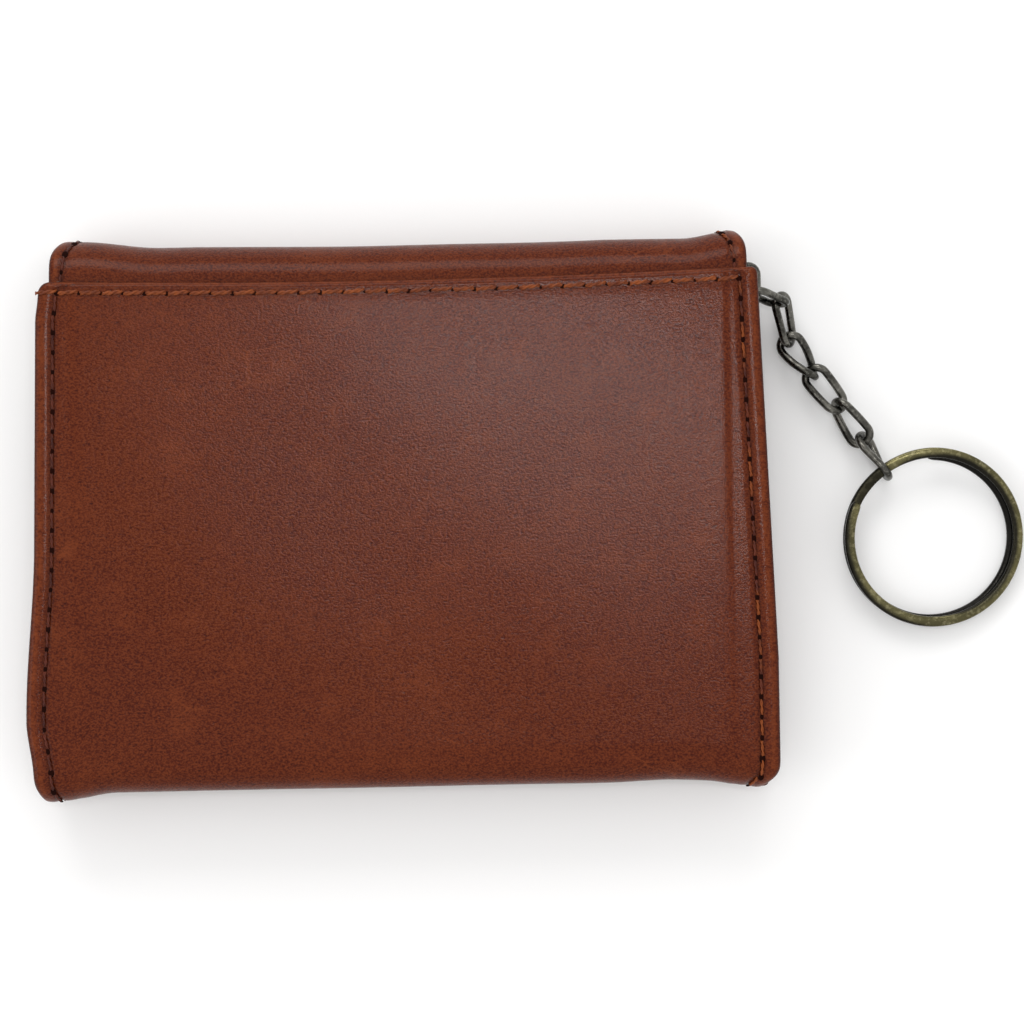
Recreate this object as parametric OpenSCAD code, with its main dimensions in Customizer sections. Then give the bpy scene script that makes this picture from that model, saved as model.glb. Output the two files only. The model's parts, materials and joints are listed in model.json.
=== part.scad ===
// Trifold leather wallet with a zipped coin pocket and a key ring on a short chain.
// The closed wallet lies on its front flap. X is the width, Y runs from fold to fold,
// Z is up through the layers, and the origin is on the flap's outer face.

/* [Closed size] */
// Width at the lower edge, where the wallet is widest
wallet_w = 102.6; // [100:0.2:108]
// Width of the back pocket at its hem
hem_w = 99.6; // [98:0.2:100]
// Height of the closed wallet, from fold to fold
wallet_h = 75.6; // [74:0.2:84]
// Width of the spine strip and of the flap
flap_w = 95; // [92:0.5:96]

/* [Leather and lining] */
// Thickness of the outer leather
leather_t = 1.2; // [1:0.1:1.3]
// Thickness of the back pocket, which is leather and its turned lining
pocket_t = 1.4; // [1.2:0.1:1.5]
// Thickness of each thin card pocket and of the note divider
card_t = 0.7; // [0.6:0.05:0.8]
// Thickness of the flap's stiffening board
board_t = 0.4; // [0.3:0.1:0.5]
// Thickness of the flap's lining
flap_lining_t = 0.6; // [0.5:0.1:0.7]
// Thickness of the note pocket's lining
note_lining_t = 0.5; // [0.4:0.1:0.6]
// Free height inside the coin pocket
coin_gap = 1.9; // [1.9:0.1:2.2]

/* [Panels] */
// Height of the back pocket's hem above the middle
hem_y = 32.7; // [31.5:0.1:33]
// Top edge of the lowest, middle and uppermost card pocket
card_tops = [2, 11, 20]; // [-5:1:22]
// Free edge of the flap
flap_tip_y = -30; // [-31:0.5:-28]
// Free edge of the coin pocket's two walls
coin_tip_y = 1.7; // [0:0.1:2]
// Place of the press stud
snap_y = -20.4; // [-20.6:0.1:-20.2]

/* [Stitching] */
// Radius of the thread
thread_r = 0.3; // [0.2:0.05:0.35]
// Distance from stitch to stitch along the hem
hem_pitch = 3.2; // [2.8:0.1:3.6]
// Distance from stitch to stitch along the sides
side_pitch = 2.8; // [2.6:0.1:3.4]
// Distance from a leather edge to its seam
seam_inset = 2.7; // [2.2:0.1:3]

/* [Chain and ring] */
// Wire diameter of a chain link
link_wire = 1.1; // [1:0.05:1.15]
// Outer length of a chain link
link_l = 8.1; // [8:0.1:8.4]
// Outer width of a chain link
link_w = 4.2; // [4.1:0.1:4.6]
// Outer width of the last link, which holds both turns of the split ring
end_link_w = 5.4; // [5.4:0.1:5.6]
// Outer diameter of the split ring
ring_d = 25.4; // [24:0.2:28]
// Radial width of the split ring's wire
ring_band = 1.85; // [1.7:0.05:1.85]
// Height of one turn of the split ring's wire
turn_h = 1; // [0.9:0.05:1]

/* [Hidden] */
$fn = 48;

brown = [0.42, 0.24, 0.17];
dark_brown = [0.33, 0.18, 0.12];
tan = [0.55, 0.36, 0.24];
rust = [0.62, 0.27, 0.12];
gunmetal = [0.25, 0.24, 0.23];
brass = [0.52, 0.43, 0.24];

// Heights through the closed stack, from the flap up to the back pocket
layer_gap = 0.4;
frame_t = 0.8;
window_t = 0.3;
flap_top = leather_t + board_t + flap_lining_t + frame_t;
front_z = flap_top + layer_gap;
cavity_z = front_z + leather_t;
wall_z = cavity_z + coin_gap;
cards_z = wall_z + leather_t + layer_gap;
divider_z = cards_z + 3 * card_t;
lining_z = divider_z + card_t;
shell_z = lining_z + note_lining_t;
pocket_z = shell_z + leather_t;
back_z = pocket_z + pocket_t;

// The top fold joins back and flap, the bottom fold joins back and front panel.
// Each fold's leather is a spine strip that hinges at both its sides, and the panels
// hold the last stretch of the curve
spine_half_angle = 56;
panel_arc = 30;
spine_stitch_angles = [-42, -14, 14, 42];
top_r = pocket_z / 2;
top_y = wallet_h / 2 - top_r;
top_z = top_r;
low_r = (back_z - front_z) / 2;
low_y = low_r - wallet_h / 2;
low_z = front_z + low_r;

// Flap's outline, its seam, and the groove that the seam lies in
flap_corner = 8;
flap_seam_x = flap_w / 2 - seam_inset;
flap_seam_y = flap_tip_y + seam_inset;
seam_corner = flap_corner - seam_inset;
groove_w = 0.8;
groove_depth = 0.6;

// Press stud
cap_r = 5.9;
cap_t = 0.8;
post_r = 1.6;
barrel_r = 2.9;
socket_r = 5;
socket_bore_r = 2.35;
socket_floor = 0.5;
stud_r = 4.5;
stud_t = 0.5;
stud_neck_r = 1.6;
stud_head_r = 2;
stud_head_z = 1.9;
stud_neck_z = 2.6;
shank_r = 1.3;
running_gap = 0.07;

// Clear window in the flap
frame_x = 42;
frame_low = -15;
frame_high = 29;
frame_band = 5;
frame_rebate = 2.5;

// Zip
tape_t = 0.6;
tape_low_y = coin_tip_y - 5.7;
tape_tip_y = coin_tip_y + 1.3;
teeth_tip_y = tape_tip_y + 1.4;
teeth_end_x = 41;
tooth_w = 1.3;
tooth_pitch = 3;
tooth_lap = 0.3;
slider_x = 36;
slider_l = 7;
slider_t = 0.5;
slider_gap = 0.3;
slider_top_y = teeth_tip_y + slider_gap;
pull_pin_r = 0.35;
pull_eye_r = 0.75;
lug_reach = pull_eye_r + 0.1;
lug_t = 0.5;
lug_gap = 0.1;
lug_r = 0.6;
pull_y = slider_top_y + slider_t + lug_reach;
pull_w = 1.6;
pull_t = 0.8;
pull_l = 12;

// Wire loop on the chain tab: a rounded rectangle that tilts down from its left wire
loop_wire = 1.2;
loop_l = 5;
loop_w = 6;
loop_corner = 1.2;
loop_tilt = 25;
loop_pivot = [45.86, 31.1, cards_z + 1.3];
tab_layer = 0.8;
tab_half_w = 1.6;
loop_reach = loop_l - loop_wire;
loop_hook_y = loop_corner - (loop_w - loop_wire) / 2;
loop_end = loop_pivot + [loop_reach * cos(loop_tilt), loop_hook_y, -loop_reach * sin(loop_tilt)];

// Each link runs from the wire it hangs on, with a heading, a climb, and the roll of
// its start and end bends, where 0 lies flat and 90 stands upright
wire_gap = 0.1;
link_heading = [-20, -78, -53.5, -52, -55.5, -57.5];
link_climb = [-46, -14, 0, 0.5, 1.5, 6];
link_rolls = [[75, 76], [134, 118], [30, -85], [20, -40], [70, 10], [-60, -95]];
link_hang = [(loop_wire + link_wire) / 2 + wire_gap, link_wire + wire_gap];

function heading_dir(a, c) = [cos(c) * cos(a), cos(c) * sin(a), sin(c)];
function link_dir(i) = heading_dir(link_heading[i], link_climb[i]);
function hang(i) = i == 0 ? link_hang[0] : link_hang[1];
function link_start(i) = link_end(i - 1) - hang(i) * link_dir(i);
function link_end(i) = i < 0 ? loop_end : link_start(i) + (link_l - link_wire) * link_dir(i);

// Split ring: two turns joined by a ramp, leaning on the last link
ring_mean_r = (ring_d - ring_band) / 2;
turn_pitch = turn_h + 0.1;
ring_heading = -54;
ring_lean = 4.9;
ring_play = 0.6;
ring_ease = 0.45;
ring_reach = ring_mean_r - (ring_band + link_wire) / 2 - ring_play;
ring_tip_angle = 155;
ramp_angle = 64;

// A flat sheet of leather, w wide at y0 and w1 wide at y1, with rounded corners at y0
module sheet(w, y0, y1, z, t, r = 0, w1 = 0) {
    end_w = w1 == 0 ? w : w1;
    translate([0, 0, z])
        linear_extrude(t) {
            polygon([
                [-w / 2, y0 + r], [w / 2, y0 + r],
                [end_w / 2, y1], [-end_w / 2, y1]
            ]);
            if (r > 0) {
                translate([r - w / 2, y0])
                    square([w - 2 * r, 2 * r]);
                for (side = [-1, 1])
                    translate([side * (w / 2 - r), y0 + r])
                        circle(r);
            }
        }
}

// A stretch of a leather tube along X, from angle a0 to a1 round the fold's centre
module fold_arc(w, y, z, r, t, a0, a1) {
    far = 2 * r;
    middle = (a0 + a1) / 2;
    peak = far / cos((a1 - a0) / 2);
    translate([-w / 2, y, z])
        rotate([90, 0, 90])
            linear_extrude(w)
                intersection() {
                    difference() {
                        circle(r);
                        circle(r - t);
                    }
                    polygon([
                        [0, 0], [far * cos(a0), far * sin(a0)],
                        [peak * cos(middle), peak * sin(middle)],
                        [far * cos(a1), far * sin(a1)]
                    ]);
                }
}

module block(x0, x1, y0, y1, z0, z1) {
    translate([x0, y0, z0])
        cube([x1 - x0, y1 - y0, z1 - z0]);
}

// Half the width of the back pocket at height y
function pocket_half(y) = hem_w / 2
    + (wallet_w - hem_w) / 2 * (hem_y - max(y, low_y)) / (hem_y - low_y);

module stitch_across(x, y, z, slant = 0, l = 2.5) {
    translate([x, y, z])
        rotate([0, 90, slant])
            cylinder(h = l, r = thread_r, center = true);
}

module stitch_along(x, y, z, l = 2.1) {
    translate([x, y, z])
        rotate([90, 0, 0])
            cylinder(h = l, r = thread_r, center = true);
}

module stitch_round(x, y, z, r, angle, l = 1.9) {
    translate([x, y + r * cos(angle), z + r * sin(angle)])
        rotate([angle, 0, 0])
            cylinder(h = l, r = thread_r, center = true);
}

// A point of a stadium, where s runs from 0 to 1 once round it
function stadium_point(s, a, r) =
    let (q = s * 4, k = floor(q), f = q - k)
    k == 0 ? [a - 2 * a * f, r]
    : k == 1 ? [-a - r * sin(180 * f), r * cos(180 * f)]
    : k == 2 ? [2 * a * f - a, -r]
    : [a + r * sin(180 * f), -r * cos(180 * f)];

function unit(v) = v / norm(v);

// A closed tube through points p, round in section, with n sides and up vectors u
module closed_tube(p, u, r, n = 8) {
    m = len(p);
    points = [
        for (i = [0:m - 1])
            let (t = unit(p[(i + 1) % m] - p[(i + m - 1) % m]))
            let (s = unit(cross(t, u[i])))
            let (v = cross(s, t))
            for (j = [0:n - 1])
                p[i] + r * (cos(360 * j / n) * s + sin(360 * j / n) * v)
    ];
    faces = [
        for (i = [0:m - 1])
            for (j = [0:n - 1])
                let (i2 = (i + 1) % m, j2 = (j + 1) % n)
                for (f = [[i * n + j, i2 * n + j, i2 * n + j2],
                          [i * n + j, i2 * n + j2, i * n + j2]])
                    f
    ];
    polyhedron(points, faces);
}

module link(i) {
    w = i == 5 ? end_link_w : link_w;
    steps = 32;
    r = (w - link_wire) / 2;
    a = (link_l - w) / 2;
    along = link_dir(i);
    side = [-sin(link_heading[i]), cos(link_heading[i]), 0];
    up = cross(along, side);
    middle = (link_start(i) + link_end(i)) / 2;
    flat = [for (k = [0:steps - 1]) stadium_point(k / steps, a, r)];
    first_roll = link_rolls[i][0];
    twist = link_rolls[i][1] - first_roll;
    rolls = [for (q = flat) first_roll + twist * (0.5 + q[0] / (2 * (a + r)))];
    path = [
        for (k = [0:steps - 1])
            middle + flat[k][0] * along
                + flat[k][1] * (cos(rolls[k]) * side + sin(rolls[k]) * up)
    ];
    normals = [for (roll = rolls) cos(roll) * up - sin(roll) * side];
    color(gunmetal)
        closed_tube(path, normals, link_wire / 2);
}

// ---- Back body ----

module back_shell() {
    color(brown) {
        sheet(flap_w, low_y, top_y, shell_z, leather_t);
        fold_arc(flap_w, top_y, top_z, top_r, leather_t, 90 - panel_arc, 90);
    }
}

module back_pocket() {
    color(brown) {
        sheet(wallet_w, low_y, hem_y, pocket_z, pocket_t, w1 = hem_w);
        fold_arc(wallet_w, low_y, low_z, low_r, pocket_t, 90, 90 + panel_arc);
    }
}

module back_lining() {
    color(tan)
        sheet(flap_w, low_y, top_y, lining_z, note_lining_t);
}

module bill_divider() {
    color(dark_brown)
        sheet(flap_w, low_y, top_y - 4.5, divider_z, card_t);
}

// Card pockets are stepped: the lowest one is nearest the reader
module card_pocket(step) {
    color(dark_brown)
        sheet(flap_w, low_y, card_tops[step], cards_z + step * card_t, card_t);
}

module card_pocket_top() {
    card_pocket(2);
}

module card_pocket_middle() {
    card_pocket(1);
}

module card_pocket_bottom() {
    card_pocket(0);
}

module hem_stitching() {
    count = floor((hem_w - 2 * seam_inset - 2) / (2 * hem_pitch));
    color(rust)
        for (i = [-count:count])
            stitch_across(i * hem_pitch, hem_y - 1.6, back_z, 10);
}

// One side seam down the back pocket
module side_stitching(side) {
    rows = floor((hem_y - 3.5 - low_y) / side_pitch);
    color(rust)
        for (i = [0:rows])
            let (y = hem_y - 3.5 - i * side_pitch)
                stitch_along(side * (pocket_half(y) - seam_inset), y, back_z);
}

module side_stitching_left() {
    side_stitching(-1);
}

module side_stitching_right() {
    side_stitching(1);
}

// Seams that hold the card pockets at their two sides
module pocket_stitching() {
    rows = floor((card_tops[0] - low_y - 3) / side_pitch);
    color(rust)
        for (side = [-1, 1])
            for (i = [0:rows])
                stitch_along(side * (flap_w / 2 - seam_inset), low_y + 2 + i * side_pitch,
                    cards_z + thread_r / 2);
}

// A strap doubled round the wire loop and sewn under the lining
module chain_tab() {
    x = loop_pivot[0];
    z = loop_pivot[2];
    eye_r = loop_wire / 2 + 0.05;
    low = loop_pivot[1] - tab_half_w;
    high = loop_pivot[1] + tab_half_w;
    color(brown)
        difference() {
            union() {
                translate([x, low, z])
                    rotate([-90, 0, 0])
                        cylinder(h = high - low, r = eye_r + tab_layer);
                block(x - 8, x, low, high, z - tab_layer, z + tab_layer);
                block(x - 14, x - 3, low - 1, top_y, z - tab_layer, lining_z);
            }
            translate([x, low - 1, z])
                rotate([-90, 0, 0])
                    cylinder(h = high - low + 2, r = eye_r);
        }
}

// ---- Spine strips, one round each fold ----

module top_spine() {
    color(brown)
        fold_arc(flap_w, top_y, top_z, top_r, leather_t, -spine_half_angle, spine_half_angle);
}

module low_spine() {
    color(brown)
        fold_arc(wallet_w, low_y, low_z, low_r, leather_t,
            180 - spine_half_angle, 180 + spine_half_angle);
}

module top_spine_stitching() {
    color(rust)
        for (side = [-1, 1])
            for (angle = spine_stitch_angles)
                stitch_round(side * (flap_w / 2 - seam_inset), top_y, top_z, top_r, angle);
}

module low_spine_stitching() {
    color(rust)
        for (side = [-1, 1])
            for (angle = spine_stitch_angles)
                stitch_round(side * (wallet_w / 2 - seam_inset), low_y, low_z, low_r,
                    180 + angle);
}

// ---- Flap body ----

module flap_shell() {
    color(brown) {
        difference() {
            sheet(flap_w, flap_tip_y, top_y, 0, leather_t, flap_corner);
            translate([0, snap_y, -1])
                cylinder(h = cap_t + 1, r = cap_r + 0.3);
            translate([0, snap_y, -1])
                cylinder(h = 4, r = post_r + 0.05);
            flap_groove();
        }
        fold_arc(flap_w, top_y, top_z, top_r, leather_t, 270, 270 + panel_arc);
    }
}

// The seam's groove, which keeps its thread off the resting face
module flap_groove() {
    outer = flap_seam_x + groove_w / 2;
    inner = flap_seam_x - groove_w / 2;
    difference() {
        sheet(2 * outer, flap_seam_y - groove_w / 2, top_y, -1, 1 + groove_depth,
            seam_corner + groove_w / 2);
        sheet(2 * inner, flap_seam_y + groove_w / 2, top_y + 1, -2, 4,
            seam_corner - groove_w / 2);
    }
}

module flap_stitching() {
    rows = floor((top_y - flap_seam_y - seam_corner) / hem_pitch) - 1;
    half = floor((flap_seam_x - seam_corner - 1) / hem_pitch);
    z = groove_depth - thread_r;
    color(rust) {
        for (side = [-1, 1])
            for (i = [0:rows])
                stitch_along(side * flap_seam_x,
                    flap_seam_y + seam_corner + 1 + i * hem_pitch, z, 2.4);
        for (i = [-half:half])
            stitch_across(i * hem_pitch, flap_seam_y, z, 0, 2.4);
    }
}

module flap_stiffener() {
    color(tan)
        difference() {
            sheet(flap_w - 8, flap_tip_y + 4, top_y, leather_t, board_t, flap_corner - 3);
            translate([0, snap_y, 0])
                cylinder(h = 4, r = barrel_r + 0.05);
        }
}

module flap_lining() {
    z = leather_t + board_t;
    color(tan)
        difference() {
            sheet(flap_w - 2, flap_tip_y + 1, top_y, z, flap_lining_t, flap_corner - 1);
            translate([0, snap_y, 0])
                cylinder(h = 4, r = barrel_r + 0.05);
        }
}

module window_frame() {
    z = flap_top - frame_t;
    color(dark_brown)
        difference() {
            block(-frame_x, frame_x, frame_low, frame_high, z, flap_top);
            block(frame_band - frame_x, frame_x - frame_band,
                frame_low + frame_band, frame_high - frame_band, z - 1, flap_top + 1);
            block(frame_rebate - frame_x, frame_x - frame_rebate,
                frame_low + frame_rebate, frame_high - frame_rebate, z - 1, z + window_t);
        }
}

module id_window() {
    z = flap_top - frame_t;
    edge = frame_rebate + 0.2;
    color([0.85, 0.88, 0.9, 0.35])
        block(edge - frame_x, frame_x - edge, frame_low + edge, frame_high - edge,
            z, z + window_t - 0.02);
}

module snap_cap() {
    color(brass)
        translate([0, snap_y, 0]) {
            cylinder(h = cap_t, r = cap_r);
            cylinder(h = leather_t, r = post_r);
        }
}

module snap_socket() {
    color(brass)
        translate([0, snap_y, 0])
            difference() {
                union() {
                    translate([0, 0, leather_t])
                        cylinder(h = flap_top - leather_t, r = barrel_r);
                    translate([0, 0, flap_top - frame_t])
                        cylinder(h = frame_t, r = socket_r);
                }
                translate([0, 0, leather_t + socket_floor])
                    cylinder(h = 4, r = socket_bore_r);
            }
}

// ---- Front panel body ----

module front_shell() {
    color(brown)
        difference() {
            union() {
                sheet(wallet_w - 1, low_y, coin_tip_y, front_z, leather_t);
                fold_arc(wallet_w - 1, low_y, low_z, low_r, leather_t, 270 - panel_arc, 270);
            }
            translate([0, snap_y, front_z - 1])
                cylinder(h = stud_t + 1, r = stud_r + 0.05);
            translate([0, snap_y, front_z - 1])
                cylinder(h = 4, r = shank_r + 0.05);
        }
}

module coin_gusset() {
    half = wallet_w / 2 - 1;
    band = 3;
    color(dark_brown)
        difference() {
            block(-half, half, low_y, tape_low_y + 4, cavity_z, wall_z);
            block(band - half, half - band, low_y + band, coin_tip_y, cavity_z - 1, wall_z + 1);
        }
}

module coin_wall() {
    color(dark_brown)
        sheet(wallet_w - 2, low_y, coin_tip_y, wall_z, leather_t);
}

module snap_stud() {
    color(brass)
        translate([0, snap_y, 0]) {
            translate([0, 0, front_z])
                cylinder(h = stud_t, r = stud_r);
            translate([0, 0, stud_neck_z])
                cylinder(h = front_z - stud_neck_z, r = stud_neck_r);
            translate([0, 0, stud_head_z])
                cylinder(h = stud_neck_z - stud_head_z, r = stud_head_r);
            translate([0, 0, front_z])
                cylinder(h = leather_t + stud_t, r = shank_r);
        }
}

// The ring that the stud's shank is riveted into, inside the coin pocket
module snap_eyelet() {
    color(brass)
        translate([0, snap_y, cavity_z])
            difference() {
                cylinder(h = stud_t, r = 3.5);
                translate([0, 0, -1])
                    cylinder(h = stud_t + 2, r = shank_r + 0.02);
            }
}

module front_stitching() {
    rows = floor((coin_tip_y - low_y - 3) / side_pitch);
    seam_x = (wallet_w - 1) / 2 - seam_inset;
    color(rust)
        for (side = [-1, 1])
            for (i = [0:rows])
                stitch_along(side * seam_x, low_y + 2 + i * side_pitch, front_z);
}

module zip_tape(z) {
    color([0.2, 0.16, 0.14])
        block(-teeth_end_x - 3, teeth_end_x + 3, tape_low_y + 4, tape_tip_y, z, z + tape_t);
}

module zip_tape_outer() {
    zip_tape(cavity_z);
}

module zip_tape_inner() {
    zip_tape(wall_z - tape_t);
}

module zip_teeth(z, shift) {
    count = floor((teeth_end_x - 2) / tooth_pitch);
    color(brass)
        for (i = [-count:count])
            let (x = i * tooth_pitch + shift)
                block(x - tooth_w / 2, x + tooth_w / 2, tape_tip_y, teeth_tip_y,
                    z, z + coin_gap - tooth_lap);
}

module zip_teeth_outer() {
    zip_teeth(cavity_z, 0);
}

module zip_teeth_inner() {
    zip_teeth(cavity_z + tooth_lap, tooth_pitch / 2);
}

// Metal blocks that close the row of teeth at both ends
module zip_stops() {
    color(brass)
        for (side = [-1, 1])
            translate([side * (teeth_end_x + 1.8) - 0.9, tape_tip_y, cavity_z])
                cube([1.8, teeth_tip_y - tape_tip_y, coin_gap]);
}

// ---- Zip slider and its pull ----

module zip_slider() {
    x0 = slider_x - slider_l / 2;
    x1 = slider_x + slider_l / 2;
    low = cavity_z - slider_gap;
    high = wall_z + slider_gap;
    lug_x = slider_x - 1;
    mid_z = (low + high) / 2;
    color(gunmetal) {
        difference() {
            block(x0, x1, coin_tip_y + 0.3, slider_top_y + slider_t,
                low - slider_t, high + slider_t);
            block(x0 - 1, x1 + 1, coin_tip_y - 1, slider_top_y, low, high);
        }
        for (side = [-1, 1])
            translate([lug_x, pull_y, mid_z + side * (pull_w / 2 + lug_gap + lug_t / 2)]) {
                cylinder(h = lug_t, r = lug_r, center = true);
                translate([-lug_r, -lug_reach - 0.1, -lug_t / 2])
                    cube([2 * lug_r, lug_reach + 0.1, lug_t]);
            }
        translate([lug_x, pull_y, mid_z])
            cylinder(h = pull_w + 1, r = pull_pin_r, center = true);
    }
}

module zip_pull() {
    lug_x = slider_x - 1;
    mid_z = (cavity_z + wall_z) / 2;
    color(brass)
        translate([lug_x, pull_y, mid_z - pull_w / 2])
            difference() {
                union() {
                    cylinder(h = pull_w, r = pull_eye_r);
                    translate([-pull_l, -pull_t / 2, 0])
                        cube([pull_l, pull_t, pull_w]);
                }
                translate([0, 0, -1])
                    cylinder(h = pull_w + 2, r = pull_pin_r + running_gap);
            }
}

// ---- Chain ----

module tab_ring() {
    r = loop_wire / 2;
    x1 = loop_reach;
    y1 = (loop_w - loop_wire) / 2;
    c = loop_corner;
    color(gunmetal)
        translate(loop_pivot)
            rotate([0, loop_tilt, 0]) {
                for (x = [0, x1])
                    translate([x, c - y1, 0])
                        rotate([-90, 0, 0])
                            cylinder(h = 2 * (y1 - c), r = r);
                for (y = [-y1, y1])
                    translate([c, y, 0])
                        rotate([0, 90, 0])
                            cylinder(h = x1 - 2 * c, r = r);
                for (corner = [[c, c - y1, 180], [x1 - c, c - y1, 270],
                               [x1 - c, y1 - c, 0], [c, y1 - c, 90]])
                    translate([corner[0], corner[1], 0])
                        rotate([0, 0, corner[2]])
                            rotate_extrude(angle = 90)
                                translate([c, 0])
                                    circle(r);
            }
}

module link_1() {
    link(0);
}

module link_2() {
    link(1);
}

module link_3() {
    link(2);
}

module link_4() {
    link(3);
}

module link_5() {
    link(4);
}

module link_6() {
    link(5);
}

// Height of the band's centre a degrees along it: upper turn, ramp, lower turn
function ring_height(a) =
    let (f = (a - 360 + ramp_angle) / ramp_angle)
    turn_pitch * (0.5 - min(max(f, 0), 1));

// Two turns of a flat band with eased edges, swept as one open strip from its upper tip
module split_ring() {
    steps = 76;
    total = 720 - ramp_angle;
    first = ramp_angle / 2;
    half_b = ring_band / 2;
    half_h = turn_h / 2;
    ease = ring_ease;
    section = [
        [half_b, half_h - ease], [half_b - ease, half_h],
        [ease - half_b, half_h], [-half_b, half_h - ease],
        [-half_b, ease - half_h], [ease - half_b, -half_h],
        [half_b - ease, -half_h], [half_b, ease - half_h]
    ];
    n = len(section);
    points = [
        for (i = [0:steps])
            let (a = total * i / steps)
            let (z = ring_height(a))
            for (q = section)
                [(ring_mean_r + q[0]) * cos(a + first),
                 (ring_mean_r + q[0]) * sin(a + first), z + q[1]]
    ];
    side_faces = [
        for (i = [0:steps - 1])
            for (j = [0:n - 1])
                let (j2 = (j + 1) % n)
                for (f = [[i * n + j, i * n + j2, (i + 1) * n + j2],
                          [i * n + j, (i + 1) * n + j2, (i + 1) * n + j]])
                    f
    ];
    start_cap = [for (j = [n - 1:-1:0]) j];
    end_cap = [for (j = [0:n - 1]) steps * n + j];
    centre = link_end(5) + ring_reach * heading_dir(ring_heading, -ring_lean);
    color(brass)
        translate(centre)
            rotate([0, 0, ring_heading])
                rotate([0, ring_lean, 0])
                    rotate([0, 0, ring_tip_angle - ring_heading - first])
                        polyhedron(points, concat([start_cap, end_cap], side_faces));
}

back_shell();
back_pocket();
back_lining();
bill_divider();
card_pocket_top();
card_pocket_middle();
card_pocket_bottom();
hem_stitching();
side_stitching_left();
side_stitching_right();
pocket_stitching();
chain_tab();
top_spine();
top_spine_stitching();
low_spine();
low_spine_stitching();
flap_shell();
flap_stiffener();
flap_lining();
window_frame();
id_window();
snap_cap();
snap_socket();
flap_stitching();
front_shell();
coin_gusset();
coin_wall();
snap_stud();
snap_eyelet();
front_stitching();
zip_tape_outer();
zip_tape_inner();
zip_teeth_outer();
zip_teeth_inner();
zip_stops();
zip_slider();
zip_pull();
tab_ring();
link_1();
link_2();
link_3();
link_4();
link_5();
link_6();
split_ring();
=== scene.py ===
import json
import math

import bmesh
import bpy
import numpy as np
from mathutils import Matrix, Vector


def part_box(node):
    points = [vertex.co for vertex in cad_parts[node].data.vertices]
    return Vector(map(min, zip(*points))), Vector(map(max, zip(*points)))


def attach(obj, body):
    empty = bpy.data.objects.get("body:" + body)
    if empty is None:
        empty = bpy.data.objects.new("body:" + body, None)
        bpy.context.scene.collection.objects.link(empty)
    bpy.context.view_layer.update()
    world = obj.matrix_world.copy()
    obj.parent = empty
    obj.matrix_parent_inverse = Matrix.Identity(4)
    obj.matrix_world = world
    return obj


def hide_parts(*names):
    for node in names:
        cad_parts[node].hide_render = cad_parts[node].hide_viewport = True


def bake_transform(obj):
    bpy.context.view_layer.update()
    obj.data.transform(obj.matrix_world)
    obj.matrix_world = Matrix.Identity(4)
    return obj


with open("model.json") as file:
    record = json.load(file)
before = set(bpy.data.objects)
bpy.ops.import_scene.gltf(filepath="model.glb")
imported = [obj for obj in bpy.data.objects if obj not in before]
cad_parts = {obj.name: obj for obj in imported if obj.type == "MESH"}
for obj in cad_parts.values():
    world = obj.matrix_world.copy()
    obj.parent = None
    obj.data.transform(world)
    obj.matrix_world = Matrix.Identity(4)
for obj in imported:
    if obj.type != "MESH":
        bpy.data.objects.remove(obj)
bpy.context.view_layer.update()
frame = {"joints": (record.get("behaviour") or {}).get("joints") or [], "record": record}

MM = 0.001
JOINTS = {joint["name"]: joint for joint in frame["joints"]}
MOUNTS = {mount["name"]: mount for mount in frame["record"]["mounts"]}

# ---- Camera: level above the table, as the photograph was taken ----

CAMERA_AT = (0.01494, 0.00015, 0.450)
CAMERA_ROLL = math.radians(-1)
LENS_MM = 112.43

camera = bpy.data.objects.new("camera", bpy.data.cameras.new("camera"))
camera.location = CAMERA_AT
camera.rotation_euler = (0, 0, CAMERA_ROLL)
camera.data.lens = LENS_MM
camera.data.sensor_width = 36
camera.data.clip_start = 0.01
bpy.context.scene.collection.objects.link(camera)
bpy.context.scene.camera = camera
bpy.context.scene.view_settings.view_transform = "Standard"

# ---- Sizes, most of them from the frame ----


def low(node):
    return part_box(node)[0]


def high(node):
    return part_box(node)[1]


def middle(node):
    return (low(node) + high(node)) / 2


BACK_Z = high("back_pocket").z
HEM_Y = high("back_pocket").y
SHELL_Z = high("back_shell").z
FLAP_HALF = high("back_shell").x
POCKET_T = BACK_Z - SHELL_Z
LEATHER_T = 1.2 * MM
TOP_R = SHELL_Z / 2
TOP_Y = high("top_spine").y - TOP_R
FRONT_Z = low("front_shell").z
LOW_R = (BACK_Z - FRONT_Z) / 2
LOW_Y = low("low_spine").y + LOW_R
LOW_Z = FRONT_Z + LOW_R
COIN_TIP_Y = high("front_shell").y
FLAP_TIP_Y = low("flap_shell").y
PANEL_HALF = high("front_shell").x
FLAP_CORNER = 8 * MM
UP = np.array((0, 0, 1.0))


def smooth(t):
    t = np.clip(t, 0, 1)
    return t * t * (3 - 2 * t)


def bell(x, centre, width):
    return np.exp(-(((x - centre) / width) ** 2))


def unit(v):
    v = np.array(v, float)
    return v / np.linalg.norm(v)


def corner_cut(distance, r):
    """How far a corner of radius r draws back, at a distance from its end."""
    inside = np.clip(r - distance, 0, r)
    return r - np.sqrt(r * r - inside ** 2)


def run_of(line):
    """The distance along a line of points, at each of them."""
    return np.concatenate([[0], np.cumsum(np.hypot(*np.diff(line, axis=0).T))])


def follow(along, *values):
    """A function that gives each of the values at a distance along a line."""
    return lambda d: np.stack([np.interp(d, along, v) for v in values], 1)


# ---- Material nodes ----


def linear(*srgb):
    return tuple(
        c / 255 / 12.92 if c < 11 else ((c / 255 + 0.055) / 1.055) ** 2.4 for c in srgb
    )


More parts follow.
